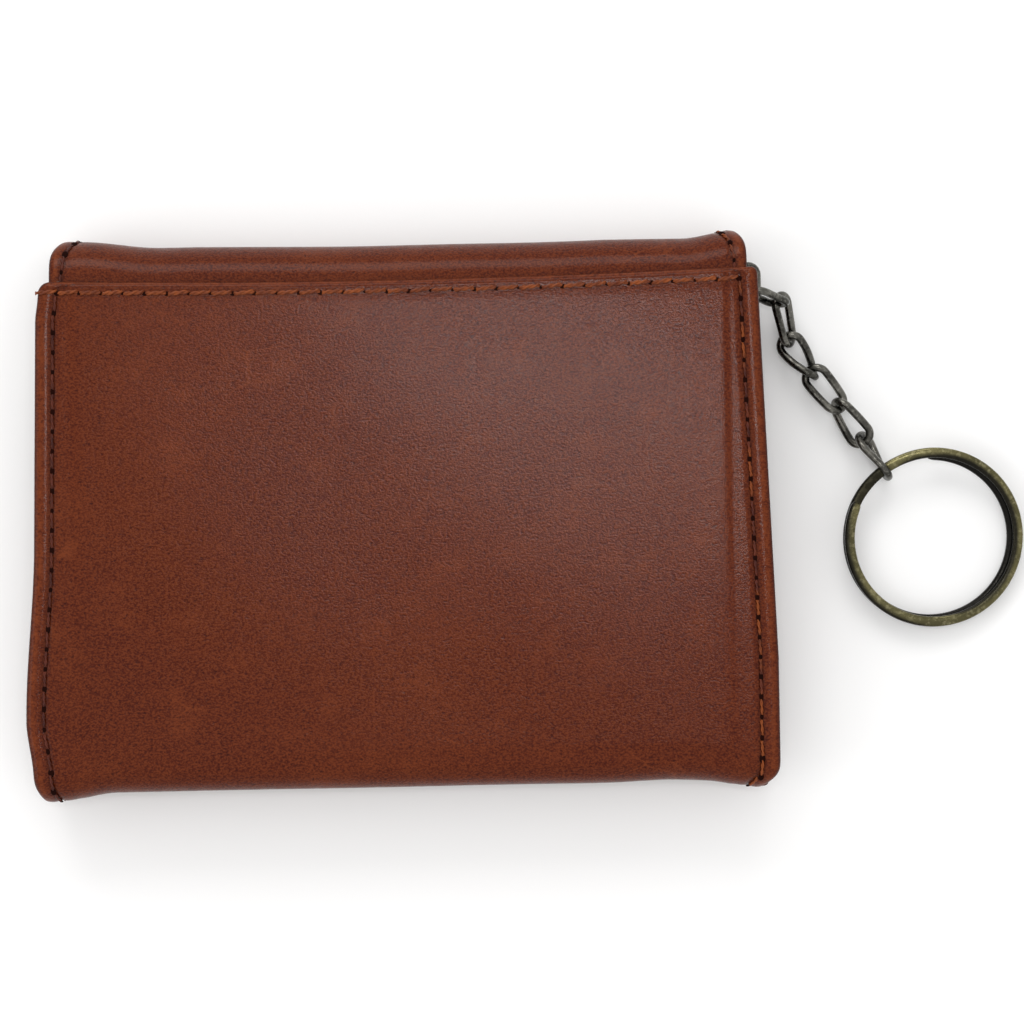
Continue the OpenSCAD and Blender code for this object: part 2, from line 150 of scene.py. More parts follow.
class Nodes:
    """A material's node tree, with short calls for the nodes used here. Textures are laid
    out by each point's stored place, so they keep still when the leather bends. A scale is
    the number of a texture's features in a metre."""

    def __init__(self, name, coordinates="rest"):
        self.material = bpy.data.materials.new(name)
        self.material.use_nodes = True
        self.tree = self.material.node_tree
        self.shader = self.tree.nodes["Principled BSDF"]
        if coordinates == "rest":
            self.place = self.attribute("rest", "Vector")
        else:
            self.place = self.node("ShaderNodeTexCoord").outputs["Object"]

    def put(self, socket, value):
        if isinstance(value, bpy.types.NodeSocket):
            self.tree.links.new(value, socket)
        else:
            socket.default_value = value

    def node(self, kind, **inputs):
        made = self.tree.nodes.new(kind)
        for key, value in inputs.items():
            self.put(made.inputs[key.replace("_", " ")], value)
        return made

    def stretched(self, *scale):
        return self.node("ShaderNodeMapping", Vector=self.place, Scale=scale).outputs[0]

    def noise(self, scale, detail=3, roughness=0.5, distortion=0.0, place=None):
        made = self.node(
            "ShaderNodeTexNoise", Vector=place or self.place, Scale=scale, Detail=detail,
            Roughness=roughness, Distortion=distortion,
        )
        return made.outputs["Fac"]

    def cells(self, scale, feature="F1", place=None):
        made = self.node("ShaderNodeTexVoronoi", Vector=place or self.place, Scale=scale)
        made.feature = feature
        return made.outputs["Distance"]

    def attribute(self, name, output="Fac"):
        made = self.node("ShaderNodeAttribute")
        made.attribute_name = name
        return made.outputs[output]

    def axis(self, name):
        return self.node("ShaderNodeSeparateXYZ", Vector=self.place).outputs[name]

    def ramp(self, value, low, high, to_low=0.0, to_high=1.0):
        made = self.node("ShaderNodeMapRange", Value=value, From_Min=low, From_Max=high,
                         To_Min=to_low, To_Max=to_high)
        made.interpolation_type = "SMOOTHSTEP"
        return made.outputs["Result"]

    def maths(self, operation, a, b):
        made = self.node("ShaderNodeMath")
        made.operation = operation
        self.put(made.inputs[0], a)
        self.put(made.inputs[1], b)
        return made.outputs[0]

    def times(self, a, b):
        return self.maths("MULTIPLY", a, b)

    def mix(self, factor, a, b):
        made = self.node("ShaderNodeMix")
        made.data_type = "RGBA"
        self.put(made.inputs[0], factor)
        for socket, value in ((made.inputs[6], a), (made.inputs[7], b)):
            self.put(socket, value if isinstance(value, bpy.types.NodeSocket) else (*value, 1))
        return made.outputs[2]

    def tint(self, colour, towards, mask, strength):
        return self.mix(self.times(mask, strength), colour, towards)

    def bump(self, height, distance, strength=1.0, under=None):
        made = self.node("ShaderNodeBump", Height=height, Distance=distance, Strength=strength)
        if under is not None:
            self.put(made.inputs["Normal"], under)
        return made.outputs["Normal"]

    def finish(self, **sockets):
        for key, value in sockets.items():
            if isinstance(value, tuple):
                value = (*value, 1)
            self.put(self.shader.inputs[key.replace("_", " ")], value)
        return self.material


def shades(colour, factor):
    return tuple(c * factor for c in colour)


def leather_material(name, warm, cool, pale, grain=3300, rough=0.33, painted_grain_light=0.42):
    """Waxed leather: a fine pebble grain, its tops painted lighter as a painted highlight and its
    pits darker as painted shade, over soft clouds of colour;
    pale ridges, partly rubbed wear and partly a painted highlight, dark burnished rims, a few
    specks and scuffs."""
    n = Nodes(name)
    pebbled = n.stretched(1.0, 1.35, 1.0)
    pebbles = n.noise(grain, 2, 0.55, 0.6, pebbled)
    cells = n.cells(grain * 0.9, "SMOOTH_F1", pebbled)
    hide = n.maths("SUBTRACT", n.times(pebbles, 1.5), n.times(cells, 0.55))
    colour = n.mix(n.ramp(n.noise(26, 3, 0.5, 0.3), 0.35, 0.65), cool, warm)
    colour = n.tint(colour, pale, n.ramp(n.noise(140, 4, 0.6), 0.5, 0.75), 0.22)
    # The grain's tops are painted lighter as a painted highlight and its pits darker as painted
    # shade, over the grain's own tone.
    colour = n.tint(colour, pale, n.ramp(hide, 0.34, 0.72), painted_grain_light)
    colour = n.tint(colour, shades(cool, 0.35), n.ramp(hide, 0.36, 0.12), painted_grain_light * 1.7)
    scuffs = n.cells(70, "DISTANCE_TO_EDGE", n.stretched(1.0, 2.6, 1.0))
    scuffs = n.times(n.ramp(scuffs, 0.018, 0.004), n.ramp(n.noise(45, 2), 0.56, 0.66))
    colour = n.tint(colour, pale, scuffs, 0.30)
    specks = n.ramp(n.cells(48), 0.0080, 0.0045)
    colour = n.tint(colour, linear(214, 176, 140), specks, 0.65)
    # Pale along the bead and the hem's edge: partly rubbed wear, partly a painted highlight.
    wear = n.times(n.attribute("wear"), n.ramp(n.noise(900, 4, 0.7), 0.34, 0.66))
    colour = n.tint(colour, pale, wear, 0.62)
    colour = n.tint(colour, shades(cool, 0.42), n.attribute("rim"), 0.70)
    colour = n.mix(n.attribute("shade"), colour, shades(cool, 0.26))
    swell, swell_height, grain_height = n.noise(260, 4, 0.6, 0.5), 0.14 * MM, 0.10 * MM
    normal = n.bump(hide, grain_height, 0.60, n.bump(swell, swell_height, 0.24))
    wax = n.bump(hide, grain_height, 0.13, n.bump(swell, swell_height, 0.06))
    roughness = n.ramp(n.noise(600, 3, 0.6), 0.3, 0.75, rough - 0.05, rough + 0.08)
    return n.finish(
        Base_Color=colour, Roughness=roughness, Specular_IOR_Level=0.04, Normal=normal,
        Coat_Weight=0.19, Coat_Roughness=0.10, Coat_Normal=wax,
    )


def thread_material(name, dull, bright, spread=0.0, far=None):
    """Twisted waxed thread. With far, its colour changes from left to right."""
    n = Nodes(name)
    tone = n.noise(420, 3, 0.65)
    colour = n.mix(n.ramp(tone, 0.32, 0.68), dull, bright)
    if far:
        side = n.ramp(n.axis("X"), -spread, spread)
        colour = n.mix(n.times(side, n.ramp(n.noise(160, 2), 0.40, 0.58)), colour, far)
    fibres = n.noise(7000, 2, 0.6)
    colour = n.tint(colour, shades(dull, 0.4), fibres, 0.35)
    return n.finish(
        Base_Color=colour, Roughness=n.ramp(tone, 0.3, 0.8, 0.45, 0.65),
        Specular_IOR_Level=0.25, Normal=n.bump(fibres, 0.04 * MM, 0.6),
    )


# Needle holes: a near-black colour painted on shallow dimples, as the shade inside a deep hole.
def hole_shade_material():
    n = Nodes("needle_hole")
    tone = n.noise(900, 2)
    return n.finish(
        Base_Color=n.mix(tone, linear(14, 3, 1), linear(34, 8, 4)),
        Roughness=n.ramp(tone, 0.2, 0.8, 0.7, 0.9), Specular_IOR_Level=0.05,
    )


def metal_material(name, dark, mid, bright, rough):
    """Antiqued plating: dark in patches, rubbed through to a lighter metal in streaks."""
    n, scale = Nodes(name), 220
    patches = n.noise(scale, 4, 0.6, 0.4)
    fine = n.noise(scale * 11, 3, 0.6)
    colour = n.mix(n.ramp(patches, 0.34, 0.62), dark, mid)
    colour = n.tint(colour, bright, n.ramp(fine, 0.52, 0.74), 0.45)
    colour = n.tint(colour, shades(dark, 0.6), n.ramp(fine, 0.44, 0.30), 0.55)
    roughness = n.ramp(n.noise(scale * 4, 4, 0.6), 0.3, 0.7, rough - 0.08, rough + 0.12)
    normal = n.bump(n.noise(scale * 8, 4, 0.6), 0.03 * MM, 0.5)
    return n.finish(Base_Color=colour, Metallic=1.0, Roughness=roughness, Normal=normal)


def cloth_material(name, dark, pale, pitch):
    """Plain weave: warp and weft waves, with slubs."""
    n = Nodes(name)
    waves = []
    for direction in ("X", "Y"):
        wave = n.node("ShaderNodeTexWave", Vector=n.place, Scale=math.pi / (10 * pitch))
        wave.bands_direction = direction
        wave.inputs["Distortion"].default_value = 0.6
        waves.append(wave.outputs["Fac"])
    weave = n.maths("MAXIMUM", waves[0], waves[1])
    slubs = n.noise(500, 4, 0.6)
    colour = n.mix(n.times(weave, n.ramp(slubs, 0.2, 0.7, 0.55, 1.0)), dark, pale)
    return n.finish(
        Base_Color=colour, Roughness=n.ramp(slubs, 0.2, 0.8, 0.72, 0.90), Sheen_Weight=0.3,
        Normal=n.bump(weave, 0.06 * MM, 0.8),
    )


def film_material():
    n = Nodes("clear_film")
    scuffs = n.noise(260, 5, 0.6)
    return n.finish(
        Base_Color=n.mix(n.ramp(scuffs, 0.5, 0.8), (0.80, 0.83, 0.86), (0.93, 0.95, 0.97)),
        Roughness=n.ramp(scuffs, 0.4, 0.8, 0.05, 0.22), Alpha=0.28, IOR=1.49,
        Normal=n.bump(n.noise(40, 2), 0.4 * MM, 0.25),
    )


leather_outer = leather_material(
    "pebbled_leather", linear(77, 26, 5), linear(70, 20, 3), linear(122, 58, 25)
)
leather_inner = leather_material(
    "smooth_inner_leather", linear(82, 38, 20), linear(64, 26, 12), linear(122, 74, 50),
    grain=3600, rough=0.45, painted_grain_light=0.20,
)
thread = thread_material("waxed_thread", linear(96, 40, 14), linear(146, 74, 30))
sunk_thread = thread_material(
    "sunk_thread", linear(58, 17, 9), linear(98, 42, 24), 45 * MM, linear(136, 66, 20)
)
needle_hole = hole_shade_material()
antique_brass = metal_material(
    "rubbed_brass", linear(38, 35, 26), linear(120, 110, 72), linear(196, 182, 128), 0.24
)
gunmetal = metal_material(
    "rubbed_gunmetal", linear(56, 55, 51), linear(104, 102, 96), linear(166, 164, 156), 0.26
)
zip_brass = metal_material(
    "zip_brass", linear(80, 66, 36), linear(150, 126, 74), linear(206, 184, 128), 0.30
)
lining_cloth = cloth_material("lining_cloth", linear(84, 54, 36), linear(142, 102, 72), 0.35 * MM)
tape_cloth = cloth_material("tape_cloth", linear(30, 21, 17), linear(66, 50, 42), 0.30 * MM)
board_card = cloth_material("board_card", linear(120, 96, 70), linear(168, 140, 108), 0.6 * MM)
clear_film = film_material()

# ---- Mesh building ----


def make_object(name, points, faces, material, rest=None, masks=None, holes=None):
    """An object from points and faces. rest is each point's place in the textures, and
    the faces from number holes on are needle holes, painted with the near-black hole shade."""
    mesh = bpy.data.meshes.new(name)
    mesh.from_pydata([tuple(p) for p in points], [], faces)
    mesh.materials.append(material)
    place = mesh.attributes.new("rest", "FLOAT_VECTOR", "POINT")
    flat = np.asarray(points if rest is None else rest, np.float32)
    place.data.foreach_set("vector", flat.ravel())
    for key, values in (masks or {}).items():
        layer = mesh.attributes.new(key, "FLOAT", "POINT")
        layer.data.foreach_set("value", np.asarray(values, np.float32).ravel())
    if holes is not None:
        mesh.materials.append(needle_hole)
        for polygon in mesh.polygons[holes:]:
            polygon.material_index = 1
    mesh.validate()
    made = bpy.data.objects.new(name, mesh)
    bpy.context.scene.collection.objects.link(made)
    tidy_mesh(made, WELD)
    return made


def tidy_mesh(made, distance):
    mesh = bmesh.new()
    mesh.from_mesh(made.data)
    bmesh.ops.remove_doubles(mesh, verts=mesh.verts, dist=distance)
    bmesh.ops.recalc_face_normals(mesh, faces=mesh.faces)
    mesh.to_mesh(made.data)
    mesh.free()
    made.data.shade_smooth()


def settle(made, nodes=(), body=None, bend=None):
    """Puts a finished piece in place of its CAD nodes, which it hides, and on its body; a piece
    with a bend only has its transform baked and goes on no body.
    """
    if nodes:
        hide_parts(*nodes)
    if bend:
        first, second, start, end = bend
        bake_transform(made)
        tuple(start)
        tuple(end)
    elif body:
        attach(made, body)
    return made


def grid(rows, columns):
    """The faces between rows of points."""
    return [
        (a, a + 1, a + columns + 1, a + columns)
        for i in range(rows - 1)
        for a in range(i * columns, (i + 1) * columns - 1)
    ]


def rings(count, sides, first=0, wrap=False):
    """The faces between closed rings of points; wrap joins the last ring to the first."""
    faces = []
    for i in range(count if wrap else count - 1):
        a, b = first + i * sides, first + (i + 1) % count * sides
        faces += [(a + k, a + (k + 1) % sides, b + (k + 1) % sides, b + k) for k in range(sides)]
    return faces


def join(shapes):
    """One list of points and one of faces from several of both."""
    points, faces = [], []
    for made, shape in shapes:
        faces += [tuple(v + len(points) for v in face) for face in shape]
        points += list(made)
    return points, faces


def flat_path(y0, y1, z, outward):
    """A straight stretch of a leather's outer face: rows of y, z and the normal's y, z."""

    def at(d):
        y = y0 + np.sign(y1 - y0) * d
        return np.stack([y, z + 0 * y, 0 * y, outward + 0 * y], 1)

    return abs(y1 - y0), at


def fold_path(cy, cz, r, a0, a1, squareness):
    """A fold: an arc that is squarer than a circle where squareness is over 2."""
    angles = np.radians(np.linspace(a0, a1, 361))
    c, s = np.cos(angles), np.sin(angles)
    reach = 2 / squareness
    y = cy + r * np.sign(c) * np.abs(c) ** reach
    z = cz + r * np.sign(s) * np.abs(s) ** reach
    lean = reach * (squareness - 1)
    ny, nz = np.sign(c) * np.abs(c) ** lean, np.sign(s) * np.abs(s) ** lean
    size = np.hypot(ny, nz)
    along = run_of(np.stack([y, z], 1))
    return along[-1], follow(along, y, z, ny / size, nz / size)


# Where the points lie from an edge, as shares of half the thickness, to round it off.
EDGE_STEPS = np.array([0, 0.03, 0.1, 0.2, 0.34, 0.52, 0.75, 1.0])
FREE_STEPS = np.append(EDGE_STEPS, (1.35, 1.8))
EDGE_ZONE = 5.5 * MM
SEAM_WIDTH = 0.42 * MM
BEAD_AT, BEAD_WIDTH, BEAD_RISE = 1.3 * MM, 0.7 * MM, 0.10
# Where the pale band lies, on the bead near each side and along the hem's edge: partly rubbed
# wear, partly a painted highlight.
GLINT_WEAR_AT, GLINT_WEAR_WIDTH, END_GLINT_WEAR = 0.95 * MM, 0.38 * MM, 0.16 * MM
RIM_WIDTH = 0.55 * MM
BACK_TEXTURE = np.array((0, 0, 7 * MM))
WELD, SHEET_WELD = 1e-7, 2e-6


def flat_relief(x, y, s):
    return 0 * x


class Sheet:
    """A sheet of leather that follows a path across the wallet. left and right give its
    edges at each row, relief its face's height, and warps the bends of its outline. relief
    takes x, y and the distance along the path in millimetres, and gives millimetres."""

    def __init__(self, path, left, right, t, relief=flat_relief, warps=(), seam=None,
                 tip_seam=False, free=(False, False), seam_depth=0.20, hem=False, drift=0.0):
        self.path, self.left, self.right, self.t = path, left, right, t
        self.relief, self.warps, self.seam, self.tip_seam = relief, warps, seam, tip_seam
        self.free, self.seam_depth, self.hem, self.drift = free, seam_depth, hem, drift
        self.length = sum(length for length, _ in path)

    def rows(self, s):
        out = np.zeros((len(s), 4))
        begin = 0.0
        for length, at in self.path:
            inside = s >= begin - 1e-9
            out[inside] = at(np.clip(s[inside] - begin, 0, length))
            begin += length
        return out

    def distances(self, step):
        close = FREE_STEPS * self.t / 2
        first = close if self.free[0] else close[:1]
        last = self.length - close[::-1] if self.free[1] else np.array([self.length])
        count = max(2, int(round((last[0] - first[-1]) / step)) + 1)
        return np.concatenate([first, np.linspace(first[-1], last[0], count)[1:-1], last])

    def bend(self, points):
        for warp in self.warps:
            points = warp(points)
        return points

    def columns(self, left, right, step, zone):
        """The x of every point, with the points closer together in a zone at each side."""
        close = np.concatenate([EDGE_STEPS * self.t / 2, np.arange(0.9 * MM, zone, 0.3 * MM)])
        middle = np.linspace(0, 1, int(((right - left).max() - 2 * zone) / step))
        inner = left + zone + (right - left - 2 * zone) * middle
        return np.concatenate([left + close, inner, right - close[::-1]], 1)

    def groove(self, to_side, to_end, rows):
        """How deep in the pressed line of the seam each point lies, from 0 to 1."""
        if not self.seam:
            return 0 * to_side
        line = self.seam + self.drift * np.clip(rows[:, 2:3], 0, 1)
        return bell(np.minimum(to_side, to_end) if self.tip_seam else to_side, line, SEAM_WIDTH)

    def build(self, name, material, step=0.7 * MM, zone=EDGE_ZONE):
        s, t = self.distances(step), self.t
        rows = self.rows(s)
        left, right = self.left(rows, s)[:, None], self.right(rows, s)[:, None]
        x = self.columns(left, right, step, zone)
        along = s[:, None] + 0 * x
        lean = [np.cos(np.arctan(np.gradient(edge[:, 0], s)))[:, None] for edge in (left, right)]
        to_side = np.maximum(np.minimum((x - left) * lean[0], (right - x) * lean[1]), 0)
        to_start = along if self.free[0] else 1 + 0 * x
        to_end = self.length - along if self.free[1] else 1 + 0 * x
        to_edge = np.minimum(np.minimum(to_side, to_start), to_end)
        drop = corner_cut(to_edge, t / 2)
        groove = self.groove(to_side, to_end, rows)
        height = BEAD_RISE * bell(to_side, BEAD_AT, BEAD_WIDTH) - self.seam_depth * groove
        height = height + self.relief(x / MM, rows[:, :1] / MM + 0 * x, along / MM)
        height = height * MM * smooth(to_edge / (0.6 * t))

        def face(offset):
            y, z = rows[:, :1] + rows[:, 2:3] * offset, rows[:, 1:2] + rows[:, 3:4] * offset
            return np.stack([x, y, z], 2).reshape(-1, 3)

        points = self.bend(np.concatenate([face(height - drop), face(drop - t)]))
        faces = grid(*x.shape)
        faces += [tuple(v + x.size for v in face[::-1]) for face in faces]
        index = np.arange(x.size).reshape(x.shape)
        outline = index[:, 0], index[-1, 1:], index[-2::-1, -1], index[0, -2:0:-1]
        loop = np.concatenate(outline).tolist()
        faces += [(a, b, b + x.size, a + x.size) for a, b in zip(loop, loop[1:] + loop[:1])]
        laid = np.stack([x, along, 0 * x], 2).reshape(-1, 3)
        # A pale band on the bead and along the hem's edge: partly rubbed wear, partly a painted
        # highlight where the rounded leather catches the light.
        wear = bell(to_side, GLINT_WEAR_AT, GLINT_WEAR_WIDTH) + 1.2 * bell(to_start, END_GLINT_WEAR, END_GLINT_WEAR)
        to_rim = np.minimum(to_side, to_end) if self.hem else to_edge
        masks = {
            "wear": np.clip(wear, 0, 1), "rim": smooth(1 - to_rim / RIM_WIDTH),
            "shade": 0.50 * groove,
        }
        for key, values in masks.items():
            masks[key] = np.concatenate([values.ravel(), values.ravel() * (key == "rim")])
        rest = np.concatenate([laid, laid + BACK_TEXTURE])
        made = make_object(name, points, faces, material, rest, masks)
        tidy_mesh(made, SHEET_WELD)
        return made

    def spot(self, s, x):
        """The face's point, and its outward direction, at distance s and width x."""
        row = self.rows(np.array([s]))
        normal = np.array((0, row[0, 2], row[0, 3]))
        height = self.relief(x / MM, row[0, 0] / MM, s / MM) * MM
        point = np.array((x, row[0, 0], row[0, 1])) + normal * height
        return self.bend(point[None])[0], normal

    def edge_x(self, s, side, inset):
        row = self.rows(np.array([s]))
        edge = self.right if side > 0 else self.left
        drift = self.drift * max(row[0, 2], 0)
        return float(edge(row, np.array([s]))[0]) - side * (inset + drift)

    def places(self, track, length, pitch, first=0.0, sink=0.0):
        """Evenly spaced places on the face along a track, which gives s and x at each
        distance: the point, the direction onwards, and the outward direction."""
        out = []
        for k in range(int((length - first) / pitch)):
            d = first + (k + 0.5) * pitch
            before, _ = self.spot(*track(d - pitch / 3))
            after, _ = self.spot(*track(d + pitch / 3))
            point, normal = self.spot(*track(d))
            along = unit(after - before)
            out.append((point - normal * sink, along, unit(normal - along * (normal @ along))))
        return out


# ---- Threads ----


def stitch(p, along, normal, length, lift, strand_r, turn0, twist, slant):
    """One stitch of two-ply thread, whose ends dip into the leather."""
    across = np.cross(normal, along)
    along = math.cos(slant) * along + math.sin(slant) * across
    across = np.cross(normal, along)
    steps, sides = 13, 6
    points, faces = [], []
    for strand in (0, math.pi):
        first = len(points)
        for i in range(steps):
            u = 2 * i / (steps - 1) - 1
            rise = lift * (1 - abs(u) ** 4) - 0.30 * MM * abs(u) ** 8
            turn = turn0 + strand + twist * math.pi * u
            centre = p + along * (u * length / 2) + normal * rise
            centre = centre + 0.75 * strand_r * (math.cos(turn) * normal + math.sin(turn) * across)
            for k in range(sides):
                b = 2 * math.pi * k / sides
                points.append(centre + strand_r * (math.cos(b) * normal + math.sin(b) * across))
        faces += rings(steps, sides, first)
        for end in (first, first + (steps - 1) * sides):
            faces.append(tuple(range(end, end + sides)))
    return points, faces


def needle_mark(p, along, normal, r):
    """A shallow dimple where the thread goes down, painted near-black as the shade inside the
    hole.
    """
    across = np.cross(normal, along)
    levels, sides = 4, 12
    points = []
    for i in range(levels):
        a = math.pi / 2 * i / (levels - 1)
        reach, rise = r * math.cos(a), 0.10 * MM * math.sin(a) - 0.03 * MM
        for k in range(sides):
            b = 2 * math.pi * k / sides
            spread = 1.15 * math.cos(b) * along + 0.9 * math.sin(b) * across
            points.append(p + reach * spread + normal * rise)
    return points, rings(levels, sides) + [tuple(range(sides))]


def sew(name, places, material, style, nodes=(), body=None, bend=None):
    """A row of stitches with a needle mark, painted dark as hole shade, between each two."""
    pitch, length, lift, strand_r, hole_r, twist, slant, hole_side = style
    stitches, marks = [], []
    for index, (p, along, normal) in enumerate(places):
        sway = slant * (1 + 0.35 * math.sin(2.3 * index))
        shape = length, lift, strand_r, 0.9 * index, twist, sway
        stitches.append(stitch(p, along, normal, *shape))
        aside = np.cross(normal, along) * hole_side
        size = hole_r * (1 + 0.26 * math.sin(1.7 * index))
        marks.append(needle_mark(p + along * pitch / 2 + aside, along, normal, size))
    holes = sum(len(faces) for points, faces in stitches)
    made = make_object(name, *join(stitches + marks), material, holes=holes)
    settle(made, nodes, body, bend)


# The pitch of the stitches, a stitch's length and lift, the radius of a strand and of a
# hole, the strands' turns, the stitch's slant, and how far its hole lies to the side.
HEM_STYLE = (3.0 * MM, 3.0 * MM, 0.18 * MM, 0.19 * MM, 0.36 * MM, 1.3, 0.10, -0.12 * MM)
SIDE_STYLE = (2.7 * MM, 2.35 * MM, 0.14 * MM, 0.12 * MM, 0.42 * MM, 1.2, 0.06, 0.0)
FINE_STYLE = (3.0 * MM, 2.40 * MM, 0.14 * MM, 0.13 * MM, 0.26 * MM, 1.6, 0.05, 0.0)
HEM_PITCH, SIDE_PITCH = HEM_STYLE[0], SIDE_STYLE[0]

# ---- Outlines of the outer leathers ----


def outline_warp(side, start, shift):
    """Moves a sheet outwards by shift(x), in millimetres, beyond start on one side."""

    def warp(points):
        out = np.array(points, float)
        fade = smooth((side * out[:, 1] - start) / (10 * MM))
        out[:, 1] += side * shift(out[:, 0] / MM) * MM * fade
        return out

    return warp


def top_shift(x):
    """The top fold is hollow in its middle, with ears at both ends."""
    hollow = -0.50 + 0.34 * np.minimum(np.abs(x) / 28, 1) ** 2
    return hollow + 0.92 * smooth((-x - 33) / 11) + 1.00 * smooth((x - 39) / 7)


def low_shift(x):
    """The bottom fold is hollow too, most of all on the right, and has ears as well."""
    hollow = -0.42 - 0.38 * bell(x, 36, 6)
    return hollow + 1.15 * smooth((-x - 40) / 8) + 0.80 * smooth((x - 41) / 7)


def hem_shift(x):
    """The hem hangs a little in its middle and rises to the chain's side."""
    return 0.12 + 0.0047 * x - 0.75 * (1 - (x / 46) ** 2)


top_warp = outline_warp(1, 24 * MM, top_shift)
low_warp = outline_warp(-1, 24 * MM, low_shift)
hem_warp = outline_warp(1, 20 * MM, hem_shift)


# In the outlines and reliefs below, x, y and plain numbers are millimetres.


def pocket_left(rows, s):
    y = rows[:, 0] / MM
    x = 49.8 + 0.022 * (24 - np.maximum(y, -32.5)) + 0.95 * smooth((-y - 4) / 22)
    x = x - 0.95 * smooth((-y - 27) / 7) - 0.35 * smooth((y - 27) / 4)
    turn = np.clip(-rows[:, 2], 0, 1) ** 2
    return -(x - 0.9 * turn - corner_cut(s / MM, 1.7)) * MM


def pocket_right(rows, s):
    y = rows[:, 0] / MM
    x = np.minimum(49.13 + 0.0385 * (28.9 - y), 51.03)
    turn = np.clip(-rows[:, 2], 0, 1) ** 3
    return (x - 1.9 * turn - corner_cut(s / MM, 0.9)) * MM


def pocket_relief(x, y, s):
    """The layers under the pocket show as a low step, its fold as a rubbed crease."""
    step_in = 0.09 * smooth((45.2 - np.abs(x)) / 1.1)
    waves = 0.09 * np.sin(x / 17 + 0.6) * np.sin(y / 14 + 0.4)
    waves = waves + 0.025 * np.sin((x + 0.7 * y) / 6.5)
    line = -34.9 + 0.25 * np.sin(x / 9)
    crease = 0.07 * bell(y, line, 0.40) - 0.10 * bell(y, line + 1.1, 0.55)
    channel = -0.07 * bell(s, 1.5, 0.6)
    sag = -0.10 * bell(x, 6, 30) * bell(y, 4, 18)
    return step_in + waves + crease + channel + sag


SPINE_EXTRA, LEFT_EXTRA = 0.2 * MM, 0.25 * MM


def spine_right(rows, s):
    return FLAP_HALF + SPINE_EXTRA - 1.15 * MM * np.clip(rows[:, 2], 0, 1) ** 5


def spine_left(rows, s):
    return -spine_right(rows, s) - LEFT_EXTRA


def spine_relief(x, y, s):
    waves = 0.05 * np.sin(x / 11 + 1.2) + 0.03 * np.sin(x / 4.3 + y / 3)
    return 0.05 * smooth(45.4 - np.abs(x)) + waves


def flap_right(rows, s):
    tip = np.where(rows[:, 3] < -0.99, rows[:, 0] - FLAP_TIP_Y, 1)
    return spine_right(rows, s) - corner_cut(tip, FLAP_CORNER)


def flap_left(rows, s):
    return -flap_right(rows, s) - LEFT_EXTRA


def panel_right(rows, s):
    y = rows[:, 0] / MM
    turn = np.clip(-rows[:, 2], 0, 1) ** 3
    return PANEL_HALF + (0.7 * smooth((-y - 24.2) / 1.2) - 0.5 - 1.3 * turn) * MM


def panel_left(rows, s):
    turn = np.clip(-rows[:, 2], 0, 1) ** 2
    return -PANEL_HALF + 0.8 * MM * turn


def recess(x, y, node, depth):
    """A round bed pressed into a leather for a snap part."""
    centre, r = middle(node) / MM, (high(node).x - low(node).x) / 2 / MM
    return -depth * smooth((r + 0.35 - np.hypot(x - centre.x, y - centre.y)) / 0.3)


def flap_relief(x, y, s):
    return 0.05 * np.sin(x / 13) * np.sin(y / 10) + recess(x, y, "snap_cap", 0.80)


def panel_relief(x, y, s):
    return 0.05 * np.sin(x / 16 + 1) * np.sin(y / 12) + recess(x, y, "snap_stud", 0.50)


def straight(x):
    return lambda rows, s: x + 0 * s


LOW_SQUARE, TOP_SQUARE = 2.7, 2.35
SPINE_SEAM = 1.65 * MM
SIDE_SEAM = 2.5 * MM
HEM_ROW = 1.45 * MM
PLAY = 0.02 * MM

pocket = Sheet(
    [flat_path(HEM_Y, LOW_Y, BACK_Z, 1), fold_path(LOW_Y, LOW_Z, LOW_R, 90, 180, LOW_SQUARE)],
    pocket_left, pocket_right, POCKET_T, pocket_relief, (hem_warp, low_warp),
    seam=SIDE_SEAM, free=(True, False), hem=True,
)
panel = Sheet(
    [fold_path(LOW_Y, LOW_Z, LOW_R, 180, 270, LOW_SQUARE),
     flat_path(LOW_Y, COIN_TIP_Y, FRONT_Z, -1)],
    panel_left, panel_right, LEATHER_T, panel_relief, (low_warp,), seam=SIDE_SEAM,
    free=(False, True),
)
spine = Sheet(
    [flat_path(LOW_Y, TOP_Y, SHELL_Z - PLAY, 1),
     fold_path(TOP_Y, TOP_R, TOP_R - PLAY, 90, 0, TOP_SQUARE)],
    spine_left, spine_right, LEATHER_T, spine_relief, (top_warp,), seam=SPINE_SEAM,
    seam_depth=0.12, drift=0.8 * MM,
)
flap = Sheet(
    [fold_path(TOP_Y, TOP_R, TOP_R - PLAY, 0, -90, TOP_SQUARE),
     flat_path(TOP_Y, FLAP_TIP_Y, PLAY, -1)],
    flap_left, flap_right, LEATHER_T, flap_relief, (top_warp,), seam=SPINE_SEAM,
    tip_seam=True, free=(False, True), drift=0.8 * MM,
)

# The bends: the two bodies and the points from where to where a point would turn from one body's
# motion to the next one's; settle only bakes the bent pieces in place.
TOP_IN, TOP_OUT = (0, TOP_Y, SHELL_Z - LEATHER_T), (0, TOP_Y, LEATHER_T)
TOP_MID = (0, TOP_Y + TOP_R - LEATHER_T, TOP_R)
LOW_IN, LOW_OUT = (0, LOW_Y, BACK_Z - POCKET_T), (0, LOW_Y, FRONT_Z + POCKET_T)
LOW_MID = (0, LOW_Y - LOW_R + POCKET_T, LOW_Z)
BACK_TO_LOW = ("back", "low_spine", LOW_IN, LOW_MID)
LOW_TO_FRONT = ("low_spine", "front_panel", LOW_MID, LOW_OUT)
BACK_TO_TOP = ("back", "top_spine", TOP_IN, TOP_MID)
TOP_TO_FLAP = ("top_spine", "flap", TOP_MID, TOP_OUT)

